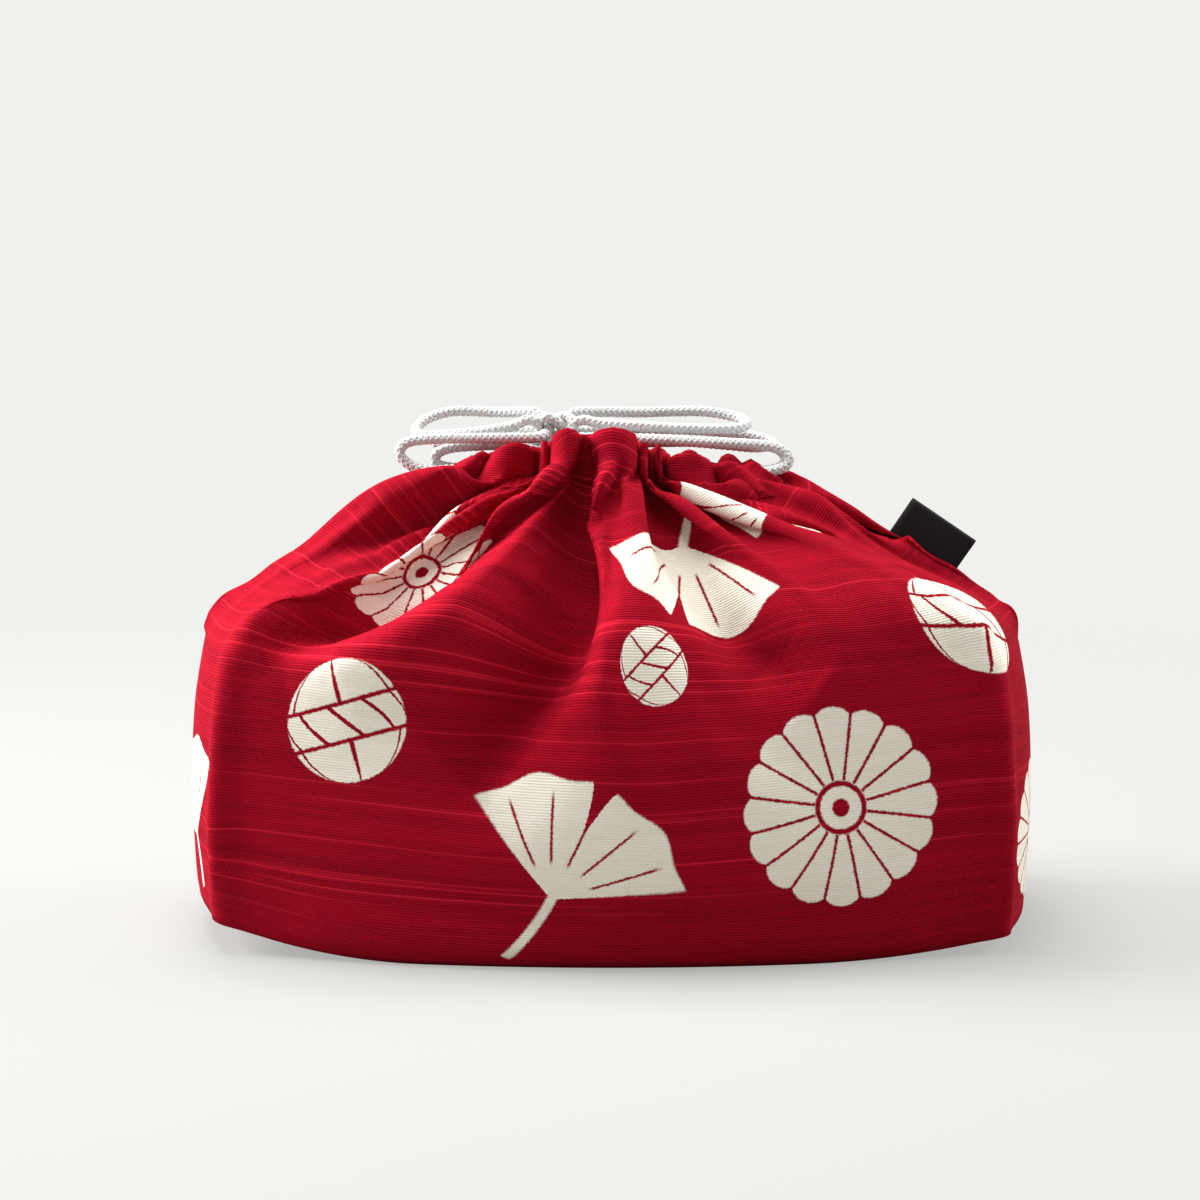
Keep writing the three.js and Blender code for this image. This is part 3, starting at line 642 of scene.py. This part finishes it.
# The main folds: places (across, up) down each fold, its depth there (less than none for a ridge), and its reach
# to the left and to the right
folds = {
    -1: [
        ([(-22, 132), (-25, 124), (-31, 115), (-44, 106), (-67, 95), (-94, 84)], (1, 5, 12, 18, 14, 0),
         (3, 5, 8, 9.5, 8.5, 5), (3, 4, 5, 6, 6, 5)),
        ([(-6.5, 134), (-6.5, 125), (-6.8, 115), (-7.5, 105), (-9, 94), (-16.5, 77), (-27, 63), (-39, 50)],
         (1, 7, 13, 17, 18, 17, 10, 0), (3, 4, 7, 12, 15, 15, 14, 11), (3, 3, 4, 4.5, 5, 5, 6, 7)),
        ([(12.5, 131), (12.5, 124), (14, 116), (19, 107), (31, 92), (54, 73)], (1, 3, 7, 11, 9, 0),
         (3, 4, 6, 7, 10, 11), (3, 4, 6, 8, 9, 10)),
        ([(-12, 132), (-14, 123), (-19, 114), (-28, 104), (-43, 92), (-63, 82), (-87, 77)],
         (0, -1.5, -4, -8, -8.5, -6, 0), (5, 5, 6, 8, 8, 8, 6), (5, 5, 7, 10, 13, 12, 9)),
        ([(-1, 132), (0, 122), (2, 110), (3, 97), (-1, 80), (-12, 62)], (0, -1.5, -3, -4, -3, 0),
         (4, 4, 6, 7, 7, 8), (4, 5, 8, 11, 13, 13)),
        ([(24, 130), (37, 120), (56, 107), (73, 97), (93, 87)], (0, -2, -3, -2.5, 0), (4, 5, 6, 7, 7), (4, 5, 6, 7, 7)),
        ([(-27, 133), (-42, 124), (-60, 113), (-92, 90)], (0, -1.5, -2.5, 0), (4, 6, 7, 6), (4, 6, 7, 6)),
        ([(-103, 86), (-105, 60), (-106.5, 34), (-106, 8)], (0, -1.6, -2, -1.6), (1.6, 1.6, 1.6, 1.6), (5, 5, 5, 5)),
        ([(103, 86), (105, 60), (106.5, 34), (106, 4)], (0, -1.6, -2, -1.6), (5, 5, 5, 5), (1.6, 1.6, 1.6, 1.6)),
    ],
    1: [
        ([(-22, 122), (-32, 110), (-48, 98), (-74, 82)], (0, 6, 8, 0), (5, 7, 9, 9), (5, 7, 9, 9)),
        ([(5, 123), (6, 110), (4, 92), (-4, 66)], (0, 6, 8, 0), (4, 7, 11, 12), (4, 6, 9, 11)),
        ([(26, 122), (38, 109), (54, 96), (80, 80)], (0, 6, 7, 0), (5, 7, 9, 9), (5, 7, 9, 9)),
        ([(-9, 120), (-12, 106), (-20, 92), (-34, 74)], (0, -4, -4, 0), (6, 8, 10, 11), (6, 8, 10, 11)),
        ([(17, 120), (22, 106), (30, 92), (42, 76)], (0, -4, -4, 0), (6, 8, 10, 11), (6, 8, 10, 11)),
    ],
}
# The side ridges, from the mouth's ends down to the walls: distance from the middle, and height
ridgeLine = ([36, 39, 71, 99, 104, 112], [130, 129, 112.6, 97.6, 94, 80])


def foldDepth(chosen, x, z):
    total = np.zeros_like(x)
    for places, depths, lefts, rights in chosen:
        line = evenly(through(places, 10), 60)
        nearest = ((x[..., None] - line[:, 0]) ** 2 + (z[..., None] - line[:, 1]) ** 2).argmin(-1)
        ahead = np.gradient(line, axis=0)
        ahead /= np.linalg.norm(ahead, axis=1)[:, None]
        offX, offZ = x - line[nearest, 0], z - line[nearest, 1]
        across = offZ * ahead[nearest, 0] - offX * ahead[nearest, 1]
        stations = np.linspace(0, 60, len(places))
        depth, left, right = (np.interp(nearest, stations, values) for values in (depths, lefts, rights))
        reach = np.where(across < 0, left, right)
        total += depth * np.exp(-(offX**2 + offZ**2) / reach**2)
    return total


# Cloth with ribs and a printed pattern. It reads the cloth's own flat measure, in metres.
inkSet = {"deep": (0.160, 0.0014, 0.0080, 1), "mid": (0.430, 0.0036, 0.0175, 1), "streak": (0.64, 0.015, 0.036, 1),
          "cream": (0.93, 0.885, 0.775, 1), "creamDeep": (0.76, 0.69, 0.56, 1),
          "rough": 0.88, "gloss": 0.04, "relief": 0.45, "reliefDeep": 0.00025, "ragged": 0.7, "streakShare": 0.75}
# The yarns: noise as scale along and up the cloth and detail, and how much of each is seen; the rib's share is painted
# shade, darkening the colour in the grooves between ribs
ribSet = {"pitch": 0.00075, "sway": (14.0, 40.0, 1.0), "swayBy": 0.0016, "thick": (30.0, 1300.0, 2.0),
          "fine": (1500.0, 2000.0, 2.0), "bands": (3.0, 210.0, 1.0), "ribShadeShare": 0.5, "thickShare": 0.6,
          "fineShare": 1.3, "bandShare": 0.7, "darker": 0.05, "slubAlong": 4.0, "slubStep": 7.31,
          "slubAt": (0.59, 0.70), "slubFlat": 0.45, "thickHigh": 0.8}
flatLength = float(np.sum(np.linalg.norm(np.diff(plan, axis=0), axis=1)))
backShift = 360.0
# The back's pattern is the front's, mirrored: place along it as a share, and a shift
backMirror = (-0.94, 8)
# kind, place along the cloth from the front's middle and up it, turn in degrees, radius; millimetres
motifs = [
    ("kiku", 62, 44, 10, 27), ("fan", -16, 22, -24, 36), ("ball", -74, 66, 20, 17), ("kiku", -82, 128, 30, 20),
    ("fan", 34, 132, 165, 34), ("ball", 112, 92, -15, 18), ("fan", -128, 24, 30, 32), ("ball", 14, 86, 40, 11),
    ("kiku", 138, 26, 0, 22), ("fan", 92, 148, 60, 26),
]


def makeMotif(name, draw):
    inputs = [("Flat", "Vector"), ("Across", "Float"), ("Up", "Float"), ("Turn", "Float"), ("Radius", "Float")]
    tree, net, given, out = newGroup(name, "ShaderNodeTree", inputs, [("Mask", "Float")])
    flat = net.add("ShaderNodeSeparateXYZ", Vector=given["Flat"]).outputs
    x = net.math("DIVIDE", net.minus(flat[0], given["Across"]), given["Radius"])
    y = net.math("DIVIDE", net.minus(flat[1], given["Up"]), given["Radius"])
    c, s = net.math("COSINE", given["Turn"]), net.math("SINE", given["Turn"])
    turnedX = net.plus(net.times(x, c), net.times(y, s))
    turnedY = net.minus(net.times(y, c), net.times(x, s))
    reach = net.math("SQRT", net.plus(net.times(x, x), net.times(y, y)))
    angle = net.math("ARCTAN2", turnedX, turnedY)
    net.fill(out["Mask"], draw(net, turnedX, turnedY, reach, angle))
    return tree


def invert(net, value):
    return net.minus(1.0, value)


# A round flower of sixteen narrow petals
def drawKiku(net, x, y, reach, angle):
    petal = net.math("ABSOLUTE", net.math("SINE", net.times(angle, 8.0)))
    edge = net.plus(0.9, net.times(net.math("SQRT", petal), 0.1))
    body = net.below(reach, edge, 0.012)
    gap = net.times(net.math("DIVIDE", petal, 8.0), reach)
    slits = net.times(net.below(gap, 0.016, 0.008), invert(net, net.below(reach, 0.27, 0.01)))
    ring = net.below(net.math("ABSOLUTE", net.minus(reach, 0.24)), 0.028, 0.01)
    dot = net.below(reach, 0.09, 0.01)
    lines = net.larger(net.larger(slits, ring), dot)
    return net.times(body, invert(net, lines))


# A fan-shaped leaf with a cleft, veins and a stalk
def drawFan(net, x, y, reach, angle):
    side = net.math("ABSOLUTE", angle)
    cleft = net.times(net.below(side, 0.05, 0.06), 0.42)
    ripple = net.times(net.math("COSINE", net.times(angle, 11.0)), 0.025)
    edge = net.plus(net.minus(0.96, cleft), ripple)
    blade = net.times(net.below(reach, edge, 0.012), net.below(side, 1.08, 0.02))
    fine = net.times(net.math("ABSOLUTE", net.math("SINE", net.times(angle, 7.5))), 0.13)
    veins = net.below(net.times(fine, reach), 0.010, 0.006)
    veins = net.times(veins, invert(net, net.below(reach, 0.3, 0.03)))
    veins = net.times(veins, net.below(reach, 0.82, 0.05))
    bend = net.plus(x, net.times(net.times(y, y), 0.35))
    stalk = net.below(net.math("ABSOLUTE", bend), 0.035, 0.012)
    stalk = net.times(stalk, net.below(net.math("ABSOLUTE", net.plus(y, 0.27)), 0.31, 0.01))
    return net.larger(net.times(blade, invert(net, veins)), stalk)


# A thread ball with a banded middle
def drawBall(net, x, y, reach, angle):
    body = net.below(reach, 0.97, 0.015)
    level = net.math("ABSOLUTE", y)
    bands = net.below(net.math("ABSOLUTE", net.minus(level, 0.30)), 0.035, 0.015)
    rim = net.math("SQRT", net.larger(net.minus(1.0, net.times(y, y)), 0.01))
    around = net.math("ARCSINE", net.math("MINIMUM", net.larger(net.math("DIVIDE", x, rim), -1.0), 1.0))
    slant = net.plus(net.times(around, 5.0), net.times(y, 4.0))
    zigzag = net.math("ABSOLUTE", net.math("SINE", slant))
    middle = net.times(net.below(zigzag, 0.22, 0.05), net.below(level, 0.30, 0.01))
    ribs = net.math("ABSOLUTE", net.math("SINE", net.times(around, 3.0)))
    caps = net.times(net.below(ribs, 0.13, 0.05), invert(net, net.below(level, 0.30, 0.01)))
    lines = net.larger(net.larger(bands, middle), caps)
    return net.times(body, invert(net, lines))


# Ribs across the cloth with thick and thin yarns. The Shade output is partly painted shade, darker in the grooves
# between ribs where the relief is low, and partly the yarns' own tone.
def makeRibs():
    outputs = [("Shade", "Float"), ("Streak", "Float"), ("Height", "Float")]
    tree, net, given, out = newGroup("slubRibs", "ShaderNodeTree", [("Flat", "Vector")], outputs)
    flat = net.add("ShaderNodeSeparateXYZ", Vector=given["Flat"]).outputs

    def yarn(across, up, detail):
        at = net.add("ShaderNodeCombineXYZ", X=net.times(flat[0], across),
                     Y=net.times(flat[1], up)).outputs[0]
        return net.noise(at, detail=detail)

    # A noise about none, times its share
    def about(kind, share):
        return net.times(net.minus(yarn(*ribSet[kind]), 0.5), ribSet[share])

    count = net.math("DIVIDE", net.plus(flat[1], about("sway", "swayBy")), ribSet["pitch"])
    wave = net.math("SINE", net.times(count, 2 * math.pi))
    rib = net.plus(0.5, net.times(wave, 0.5))
    thick = yarn(*ribSet["thick"])
    # The rib wave in the colour is painted shade: dark in the grooves, light on the crests. The thick, fine and banded
    # yarns are the cloth's own tone.
    shade = net.plus(net.times(rib, ribSet["ribShadeShare"]),
                     net.times(thick, ribSet["thickShare"]))
    shade = net.plus(shade, about("fine", "fineShare"))
    shade = net.plus(net.minus(shade, ribSet["darker"]), about("bands", "bandShare"))
    row = net.math("FLOOR", net.plus(count, 0.25))
    at = net.add("ShaderNodeCombineXYZ", X=net.times(flat[0], ribSet["slubAlong"]),
                 Y=net.times(row, ribSet["slubStep"])).outputs[0]
    slub = net.noise(at, detail=1.0)
    # Slub streaks are dimmer in the grooves between ribs than on the crests: painted shade
    full = net.plus(ribSet["slubFlat"], net.times(rib, 1 - ribSet["slubFlat"]))
    streak = net.times(net.step(slub, *ribSet["slubAt"]), full)
    net.fill(out["Shade"], shade)
    net.fill(out["Streak"], streak)
    net.fill(out["Height"], net.plus(rib, net.times(thick, ribSet["thickHigh"])))
    return tree


def makeCloth():
    material, net, shader = newMaterial("crimsonCotton")
    flat = net.add("ShaderNodeUVMap", {"uv_map": "flat"}).outputs[0]
    ribs = net.add("ShaderNodeGroup", {"node_tree": makeRibs()}, Flat=flat).outputs
    ragged = net.add("ShaderNodeTexNoise", Vector=flat, Scale=1400.0, Detail=1.0).outputs["Color"]
    shifted = net.vector("SUBTRACT", ragged, (0.5, 0.5, 0.5))
    measured = net.vector("ADD", net.scaled(flat, 1000.0), net.scaled(shifted, inkSet["ragged"]))
    kinds = {name: makeMotif(name, draw) for name, draw in (("kiku", drawKiku), ("fan", drawFan), ("ball", drawBall))}
    mask = 0.0
    for half in (0, 1):
        for kind, across, up, turned, radius in motifs:
            across = across if not half else across * backMirror[0] + backMirror[1]
            place = flatLength / 2 + across + half * backShift
            one = net.add("ShaderNodeGroup", {"node_tree": kinds[kind]}, Flat=measured, Across=place, Up=float(up),
                          Turn=math.radians(turned), Radius=float(radius)).outputs[0]
            mask = net.larger(one, mask)
    # The reds and the cream take the ribs' painted groove shade as well as the yarns' own tone
    red = net.mix(ribs["Shade"], inkSet["deep"], inkSet["mid"])
    red = net.mix(net.times(ribs["Streak"], inkSet["streakShare"]), red, inkSet["streak"])
    pale = net.mix(net.plus(net.times(ribs["Shade"], 0.7), 0.3), inkSet["creamDeep"], inkSet["cream"])
    cover(net, shader, net.mix(mask, red, pale), inkSet["rough"], inkSet["gloss"], ribs["Height"], inkSet["relief"],
          inkSet["reliefDeep"])
    return material


clothMaterial = makeCloth()

# How the drawn cloth is calmed, kept under the side ridges and given its folds. Distances below the lip and across in
# millimetres, spans in columns.
shapeSet = {"relax": 2, "calm": 70, "even": 0.8, "calmAt": (22, 64), "foot": (0, 30), "cornerAt": (56, 90),
            "cornerSpan": 4, "ridgeAt": (103, 112), "ridgeLow": 6, "ridgeSpan": 20, "dropSpan": 3, "foldBase": 140}
cornerY = plan[:, 1].min() * clothSet["cornerY"]
corners = [abs(plan - [x * clothSet["cornerX"], cornerY]).sum(1).argmin() for x in plan[[0, -1], 0]]
atCorner = sum(np.exp(-(((np.arange(columns + 1) - c) / shapeSet["cornerSpan"]) ** 2)) for c in corners)

# Each half as a sheet with its hemmed casing: the cloth turns in at the top and comes down again inside
hemSet = {"deep": 11.5, "puff": 0.4, "turn": 0.9, "inside": 4.9, "full": 1.9, "cord": 2.4, "dip": 1.8, "dipSpan": 35,
          "span": 20, "rows": 9, "groove": 0.7, "grooveSpan": 2.5, "seamGap": 0.15, "gapSpan": 1.5, "trim": 6}


# A smooth line behind every pleat of a gathered row, at a distance from the innermost points
def behind(row, side, inwards):
    span = hemSet["span"]
    wide = np.pad(row, ((2 * span, 2 * span), (0, 0)), mode="edge")
    deep = np.array([(-side * wide[i : i + 2 * span + 1, 1]).max() for i in range(len(row) + 2 * span)])
    wide = wide[span:-span].copy()
    wide[:, 1] = -side * deep
    even = np.ones(2 * span + 1) / (2 * span + 1)
    line = np.column_stack([np.convolve(wide[:, k], even, mode="valid") for k in range(3)])
    line[:, 1] -= side * inwards * mm
    return line


# A row of a grid's values at a distance below the top edge
def rowAt(values, below, deep):
    return np.array([[np.interp(-deep, -below[:, i], values[:, i, k]) for k in range(3)]
                     for i in range(values.shape[1])])


def clothHalf(name, side):
    grid = relax(shapes[side].copy(), shapeSet["relax"])
    below = (1 - heights)[:, None] * cuts[side][None, :]
    calm = relax(grid.copy(), shapeSet["calm"])
    share = shapeSet["even"] * smoothStep(*shapeSet["calmAt"], below)
    share *= smoothStep(*shapeSet["foot"], cuts[side] - below)
    share *= 1 - atCorner * smoothStep(*shapeSet["cornerAt"], below)
    grid += (calm - grid) * share[:, :, None]
    for end in (0, columns):
        across, up = np.abs(grid[:, end, 0]) / mm, grid[:, end, 2] / mm
        drop = np.minimum(np.interp(across, *ridgeLine) - up, 0) * (1 - smoothStep(*shapeSet["ridgeAt"], across))
        drop = drop * (up > clothSet["shoulder"] - shapeSet["ridgeLow"]) * (below[:, end] > clothSet["band"])
        drop = averaged(drop, shapeSet["dropSpan"])
        near = np.exp(-(((np.arange(columns + 1) - end) / shapeSet["ridgeSpan"]) ** 2))
        grid[:, :, 2] += drop[:, None] * near[None, :] * mm
    grid, below = (finer(finer(values, 0), 1) for values in (grid, below))
    cut, edge = finer(cuts[side], 0), finer(fromEdge.astype(float), 0)
    outwards = gridNormals(relax(grid.copy(), shapeSet["foldBase"]), side)
    depth = foldDepth(folds[side], grid[:, :, 0] / mm, grid[:, :, 2] / mm)
    grid -= outwards * depth[:, :, None] * mm
    normals = gridNormals(grid, side)
    puff = hemSet["puff"] * np.sin(np.pi * np.clip(below / hemSet["deep"], 0, 1)) * mm
    seam = np.clip(1 - edge / hemSet["grooveSpan"], 0, 1)[None, :] * (below > clothSet["slit"])
    shaped = grid + normals * (puff - hemSet["groove"] * mm * seam)[:, :, None]
    shaped[:, :, 1] += side * hemSet["seamGap"] * mm * np.clip(1 - edge / hemSet["gapSpan"], 0, 1)[None, :]
    count = len(edge)
    flatX = np.linspace(0, flatLength, count) * mm + (backShift * mm if side > 0 else 0)
    layers, marks = [shaped], [(cut[None, :] - below) * mm]
    for deep in hemSet["deep"] * np.linspace(0.02, 1, hemSet["rows"]):
        row, lie = rowAt(grid, below, deep), rowAt(normals, below, deep)
        share = min(1, hemSet["full"] * math.sin(math.pi * min(1, deep / hemSet["deep"])))
        turned = row - lie * hemSet["turn"] * mm
        layers.append((turned + (behind(row, side, hemSet["inside"]) - turned) * share)[None])
        marks.append((cut + deep)[None] * mm)
    full = np.concatenate(layers)
    marks = np.concatenate(marks)
    quads = gridFaces(len(full), count)
    if side > 0:
        quads = [q[::-1] for q in quads]
    made = addMesh(name, full.reshape(-1, 3), quads)
    layFlat(made, np.column_stack([np.tile(flatX, len(full)), marks.ravel()]))
    return thicken(made, name, clothMaterial, clothSet["thick"], -1), shaped, normals, below


frontCloth, frontGrid, frontNormals, frontBelow = clothHalf("front_cloth", -1)
backCloth, backGrid, backNormals, backBelow = clothHalf("back_cloth", 1)
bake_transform(frontCloth)
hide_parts("front_panel", "front_lip")
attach(backCloth, "bag")
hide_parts("back_panel", "back_lip")
print("cloth halves made", len(frontCloth.data.polygons), len(backCloth.data.polygons))


# Base: the walls' own bottom edge, filled in by smaller and smaller rings
baseSet = {"shares": (1.0, 0.96, 0.8, 0.6, 0.4, 0.2), "high": 0.0004, "flatShift": (-0.6, -0.6)}
bottomEdge = np.vstack([frontGrid[0, :-1], backGrid[0, ::-1][:-1]])


def makeBase():
    points = []
    for share in baseSet["shares"]:
        row = bottomEdge * [share, share, 1]
        row[:, 2] = baseLift(row[:, 0] / mm) * mm + baseSet["high"]
        points.append(row)
    count = len(bottomEdge)
    quads = [q[::-1] for q in gridFaces(len(points), count, True)]
    middle = len(points) * count
    last = middle - count
    quads += [(last + (i + 1) % count, last + i, middle) for i in range(count)]
    points = np.vstack(points + [[[0, 0, baseSet["high"]]]])
    made = addMesh("base_cloth", points, quads)
    layFlat(made, points[:, :2] + baseSet["flatShift"])
    return thicken(made, "base_cloth", clothMaterial, clothSet["thick"], -1)


baseCloth = makeBase()
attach(baseCloth, "bag")
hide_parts("base_panel")


# Cords inside the casings
def casingLine(side, below, proud=0.0):
    grid, normals, depth = (frontGrid, frontNormals, frontBelow) if side < 0 else (backGrid, backNormals, backBelow)
    return rowAt(grid + normals * proud * mm, depth, below)


# The cord's own line there, lower towards the slits
def cordRun(side, below):
    line = behind(casingLine(side, below), side, hemSet["cord"])[hemSet["trim"] : -hemSet["trim"]]
    fromEnd = np.minimum(np.arange(len(line)), np.arange(len(line))[::-1])
    line[:, 2] -= hemSet["dip"] * np.exp(-((fromEnd / hemSet["dipSpan"]) ** 2)) * mm
    return line


runs = {"left_cord_front_run": (-1, 4.2, "front_lip"), "right_cord_front_run": (-1, 7.3, "front_lip"),
        "left_cord_back_run": (1, 4.2, "bag"), "right_cord_back_run": (1, 7.3, "bag")}
for name, (side, below, body) in runs.items():
    line = cordRun(side, below)
    if side > 0:
        far = 1 if name.startswith("left") else -1
        other = cordRun(-1, below)
        ends = (other[-1], line[-1]) if far > 0 else (other[0], line[0])
        bend = (ends[0] + ends[1]) / 2 + np.array([far * 4.5, 0, -1.5]) * mm
        turnPoints = [ends[0] + np.array([far * 1.2, 1.0, -0.4]) * mm, bend,
                      ends[1] + np.array([far * 1.6, -0.6, -0.5]) * mm]
        line = np.vstack([turnPoints, line[::-1]]) if far > 0 else np.vstack([turnPoints, line])
    made, _, _ = braidedCord(name, evenly(line, 96))
    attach(made, body)
    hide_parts(name)
print("casings filled")


# Woven tag, folded double, standing on the right ridge
tagSet = {"from": 78.5, "to": 95.5, "tilt": 34.0, "wide": 21.3, "reach": 10.8, "ply": 0.45, "gap": 0.5, "sink": 1.6,
          "curl": 0.5, "rough": 0.7, "gloss": 0.22, "relief": 0.4, "warp": 780.0, "weft": 1150.0, "rows": 12,
          "bendRows": 9, "columns": 13,
          "color": (0.0030, 0.0028, 0.0033, 1), "pale": (0.0100, 0.0095, 0.0108, 1)}


def makeTag():
    ridge = frontGrid[:, -1] / mm
    seam = ridge[ridge[:, 2] > clothSet["shoulder"] - 8]
    low, high = (np.array([x, 0, np.interp(-x, -seam[:, 0], seam[:, 2])]) for x in (tagSet["to"], tagSet["from"]))
    tilt = math.radians(tagSet["tilt"])
    along = np.array([-math.cos(tilt), 0, math.sin(tilt)])
    out = np.array([math.sin(tilt), 0, math.cos(tilt)])
    middle = (low + high) / 2 - out * tagSet["sink"]
    half = tagSet["gap"] / 2 + tagSet["ply"]
    total = tagSet["reach"] + tagSet["sink"]
    bendAt = np.linspace(0, math.pi, tagSet["bendRows"])
    section = [(-half, t) for t in np.linspace(0, total - half, tagSet["rows"])]
    section += [(-half * math.cos(a), total - half + half * math.sin(a)) for a in bendAt[1:-1]]
    section += [(half, t) for t in np.linspace(total - half, 0, tagSet["rows"])]
    across = np.linspace(-tagSet["wide"] / 2, tagSet["wide"] / 2, tagSet["columns"])
    points, flat = [], []
    run = 0.0
    for k, (thick, rise) in enumerate(section):
        if k:
            run += math.dist(section[k - 1], section[k])
        for a in across:
            curl = tagSet["curl"] * (rise / total) ** 2 * math.sin(a * 0.16 + 0.6)
            points.append(middle + along * a + out * rise + np.array([0, thick + curl, 0]))
            flat.append((a * mm, run * mm))
    count = len(across)
    quads = [(q[0], *q[:0:-1]) for q in gridFaces(len(section), count)]
    made = addMesh("woven_tag", np.array(points) * mm, quads)
    layFlat(made, flat)
    material, net, shader = newMaterial("blackRibbon")
    place = net.add("ShaderNodeUVMap", {"uv_map": "flat"}).outputs[0]
    warp, weft = (net.add("ShaderNodeTexWave", {"bands_direction": way}, Vector=place, Scale=tagSet[name],
                          Distortion=0.4).outputs[1] for way, name in (("X", "warp"), ("Y", "weft")))
    # The ribbon is paler where warp and weft both rise, on the weave's relief: painted light on the thread tops
    weave = net.times(warp, weft)
    color = net.mix(weave, tagSet["color"], tagSet["pale"])
    cover(net, shader, color, tagSet["rough"], tagSet["gloss"], weave, tagSet["relief"], 0.0002)
    return thicken(made, "woven_tag", material, tagSet["ply"] * mm, 0)


tagPiece = makeTag()
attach(tagPiece, "tag")
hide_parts("tag")


# Rows of stitches under the casings
stitchSet = {"below": 11.9, "long": 0.0022, "every": 0.0031, "radius": 0.00016, "proud": 0.05, "rough": 0.8,
             "gloss": 0.05, "color": (0.12, 0.0015, 0.005, 1), "pale": (0.21, 0.003, 0.009, 1)}


def makeStitches():
    inputs = [("Geometry", "Geometry"), ("Every", "Float"), ("Long", "Float"), ("Radius", "Float"),
              ("Material", "Material")]
    tree, net, given, out = newGroup("stitches", "GeometryNodeTree", inputs, [("Geometry", "Geometry")])
    line = net.add("GeometryNodeMeshToCurve", Mesh=given["Geometry"]).outputs[0]
    spaced = net.add("GeometryNodeResampleCurve", {"mode": "LENGTH"}, Curve=line, Length=given["Every"]).outputs[0]
    thread = net.add("GeometryNodeMeshCylinder", Vertices=6, Radius=given["Radius"], Depth=given["Long"]).outputs[0]
    ahead = net.add("GeometryNodeInputTangent").outputs[0]
    turned = net.add("FunctionNodeAlignRotationToVector", {"axis": "Z"}, Vector=ahead)
    placed = net.add("GeometryNodeInstanceOnPoints", Points=spaced, Instance=thread, Rotation=turned.outputs[0])
    real = net.add("GeometryNodeRealizeInstances", Geometry=placed.outputs[0])
    painted = net.add("GeometryNodeSetMaterial", Geometry=real.outputs[0], Material=given["Material"])
    net.fill(out["Geometry"], painted.outputs[0])
    return tree


threadMaterial, net, shader = newMaterial("sewingThread")
place = net.add("ShaderNodeTexCoord").outputs["Object"]
tone = net.noise(place, 900.0)
cover(net, shader, net.mix(tone, stitchSet["color"], stitchSet["pale"]), stitchSet["rough"], stitchSet["gloss"])
stitches = makeStitches()
for name, side in (("front_stitches", -1), ("back_stitches", 1)):
    line = casingLine(side, stitchSet["below"], stitchSet["proud"])
    host = addLine(name, line)
    grow(host, stitches, Every=stitchSet["every"], Long=stitchSet["long"], Radius=stitchSet["radius"],
         Material=threadMaterial)
    made = settle(host, name)
    if side < 0:
        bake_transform(made)
    else:
        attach(made, "bag")
print("stitches made")

# Pale floor that sweeps up behind, soft light from the upper left, and a white surround
stageSet = {"floor": (0.35, 0.35, 0.34, 1), "tint": (0.36, 0.36, 0.35, 1), "seen": (0.87, 0.88, 0.855, 1),
            "lift": 0.46, "plainAt": (0.14, 0.75), "rough": 0.9, "gloss": 0.1, "front": -2.2, "back": 1.3,
            "round": 0.9, "high": 2.4, "wide": 4.0, "below": 0.0002, "fill": 0.44, "white": 0.9, "aim": (0, 0, 0.06)}
profile = [(stageSet["front"], 0.0), (stageSet["back"], 0.0)]
profile += [(stageSet["back"] + stageSet["round"] * math.sin(a), stageSet["round"] * (1 - math.cos(a)))
            for a in np.linspace(0.1, math.pi / 2, 12)]
profile.append((stageSet["back"] + stageSet["round"], stageSet["high"]))
points = [(x, y, z - stageSet["below"]) for y, z in profile for x in (-stageSet["wide"], stageSet["wide"])]
floor = addMesh("floor", points, gridFaces(len(profile), 2))
floor.data.shade_smooth()
floorMaterial, net, shader = newMaterial("paleFloor")
place = net.add("ShaderNodeTexCoord").outputs["Object"]
grain = net.noise(place, 3.0)
cover(net, shader, net.mix(grain, stageSet["floor"], stageSet["tint"]), stageSet["rough"], stageSet["gloss"])
away = net.add("ShaderNodeVectorMath", {"operation": "LENGTH"}, Vector=place).outputs["Value"]
far = net.step(away, *stageSet["plainAt"], To_Min=stageSet["lift"])
plain = net.add("ShaderNodeEmission", Color=stageSet["seen"], Strength=1.0).outputs[0]
blend = net.add("ShaderNodeMixShader", Fac=net.times(far, seenRay(net))).inputs
net.fill(blend[1], shader.outputs[0])
net.fill(blend[2], plain)
net.fill(floorMaterial.node_tree.nodes["Material Output"].inputs["Surface"], blend[1].node.outputs[0])
floor.data.materials.append(floorMaterial)

# Lamps: place, size and power. They all face the bag's middle.
lamps = {"left": ((-1.3, 0.19, 0.75), 0.7, 41.0), "right": ((1.3, 0.3, 0.7), 0.8, 15.0),
         "top": ((-0.25, 0.24, 1.5), 0.9, 30.0)}
for name, (at, size, power) in lamps.items():
    lamp = bpy.data.objects.new(name, bpy.data.lights.new(name, "AREA"))
    scene.collection.objects.link(lamp)
    lamp.data.size = size
    lamp.data.energy = power
    lamp.location = at
    lamp.rotation_euler = (Vector(stageSet["aim"]) - Vector(at)).to_track_quat("-Z", "Y").to_euler()
world = bpy.data.worlds.new("surround")
scene.world = world
world.use_nodes = True
net = Net(world.node_tree)
background = world.node_tree.nodes["Background"]
background.inputs[0].default_value = (1.0, 1.0, 1.0, 1)
shown = net.times(seenRay(net), stageSet["white"] - stageSet["fill"])
net.fill(background.inputs[1], net.plus(stageSet["fill"], shown))

bpy.context.view_layer.update()
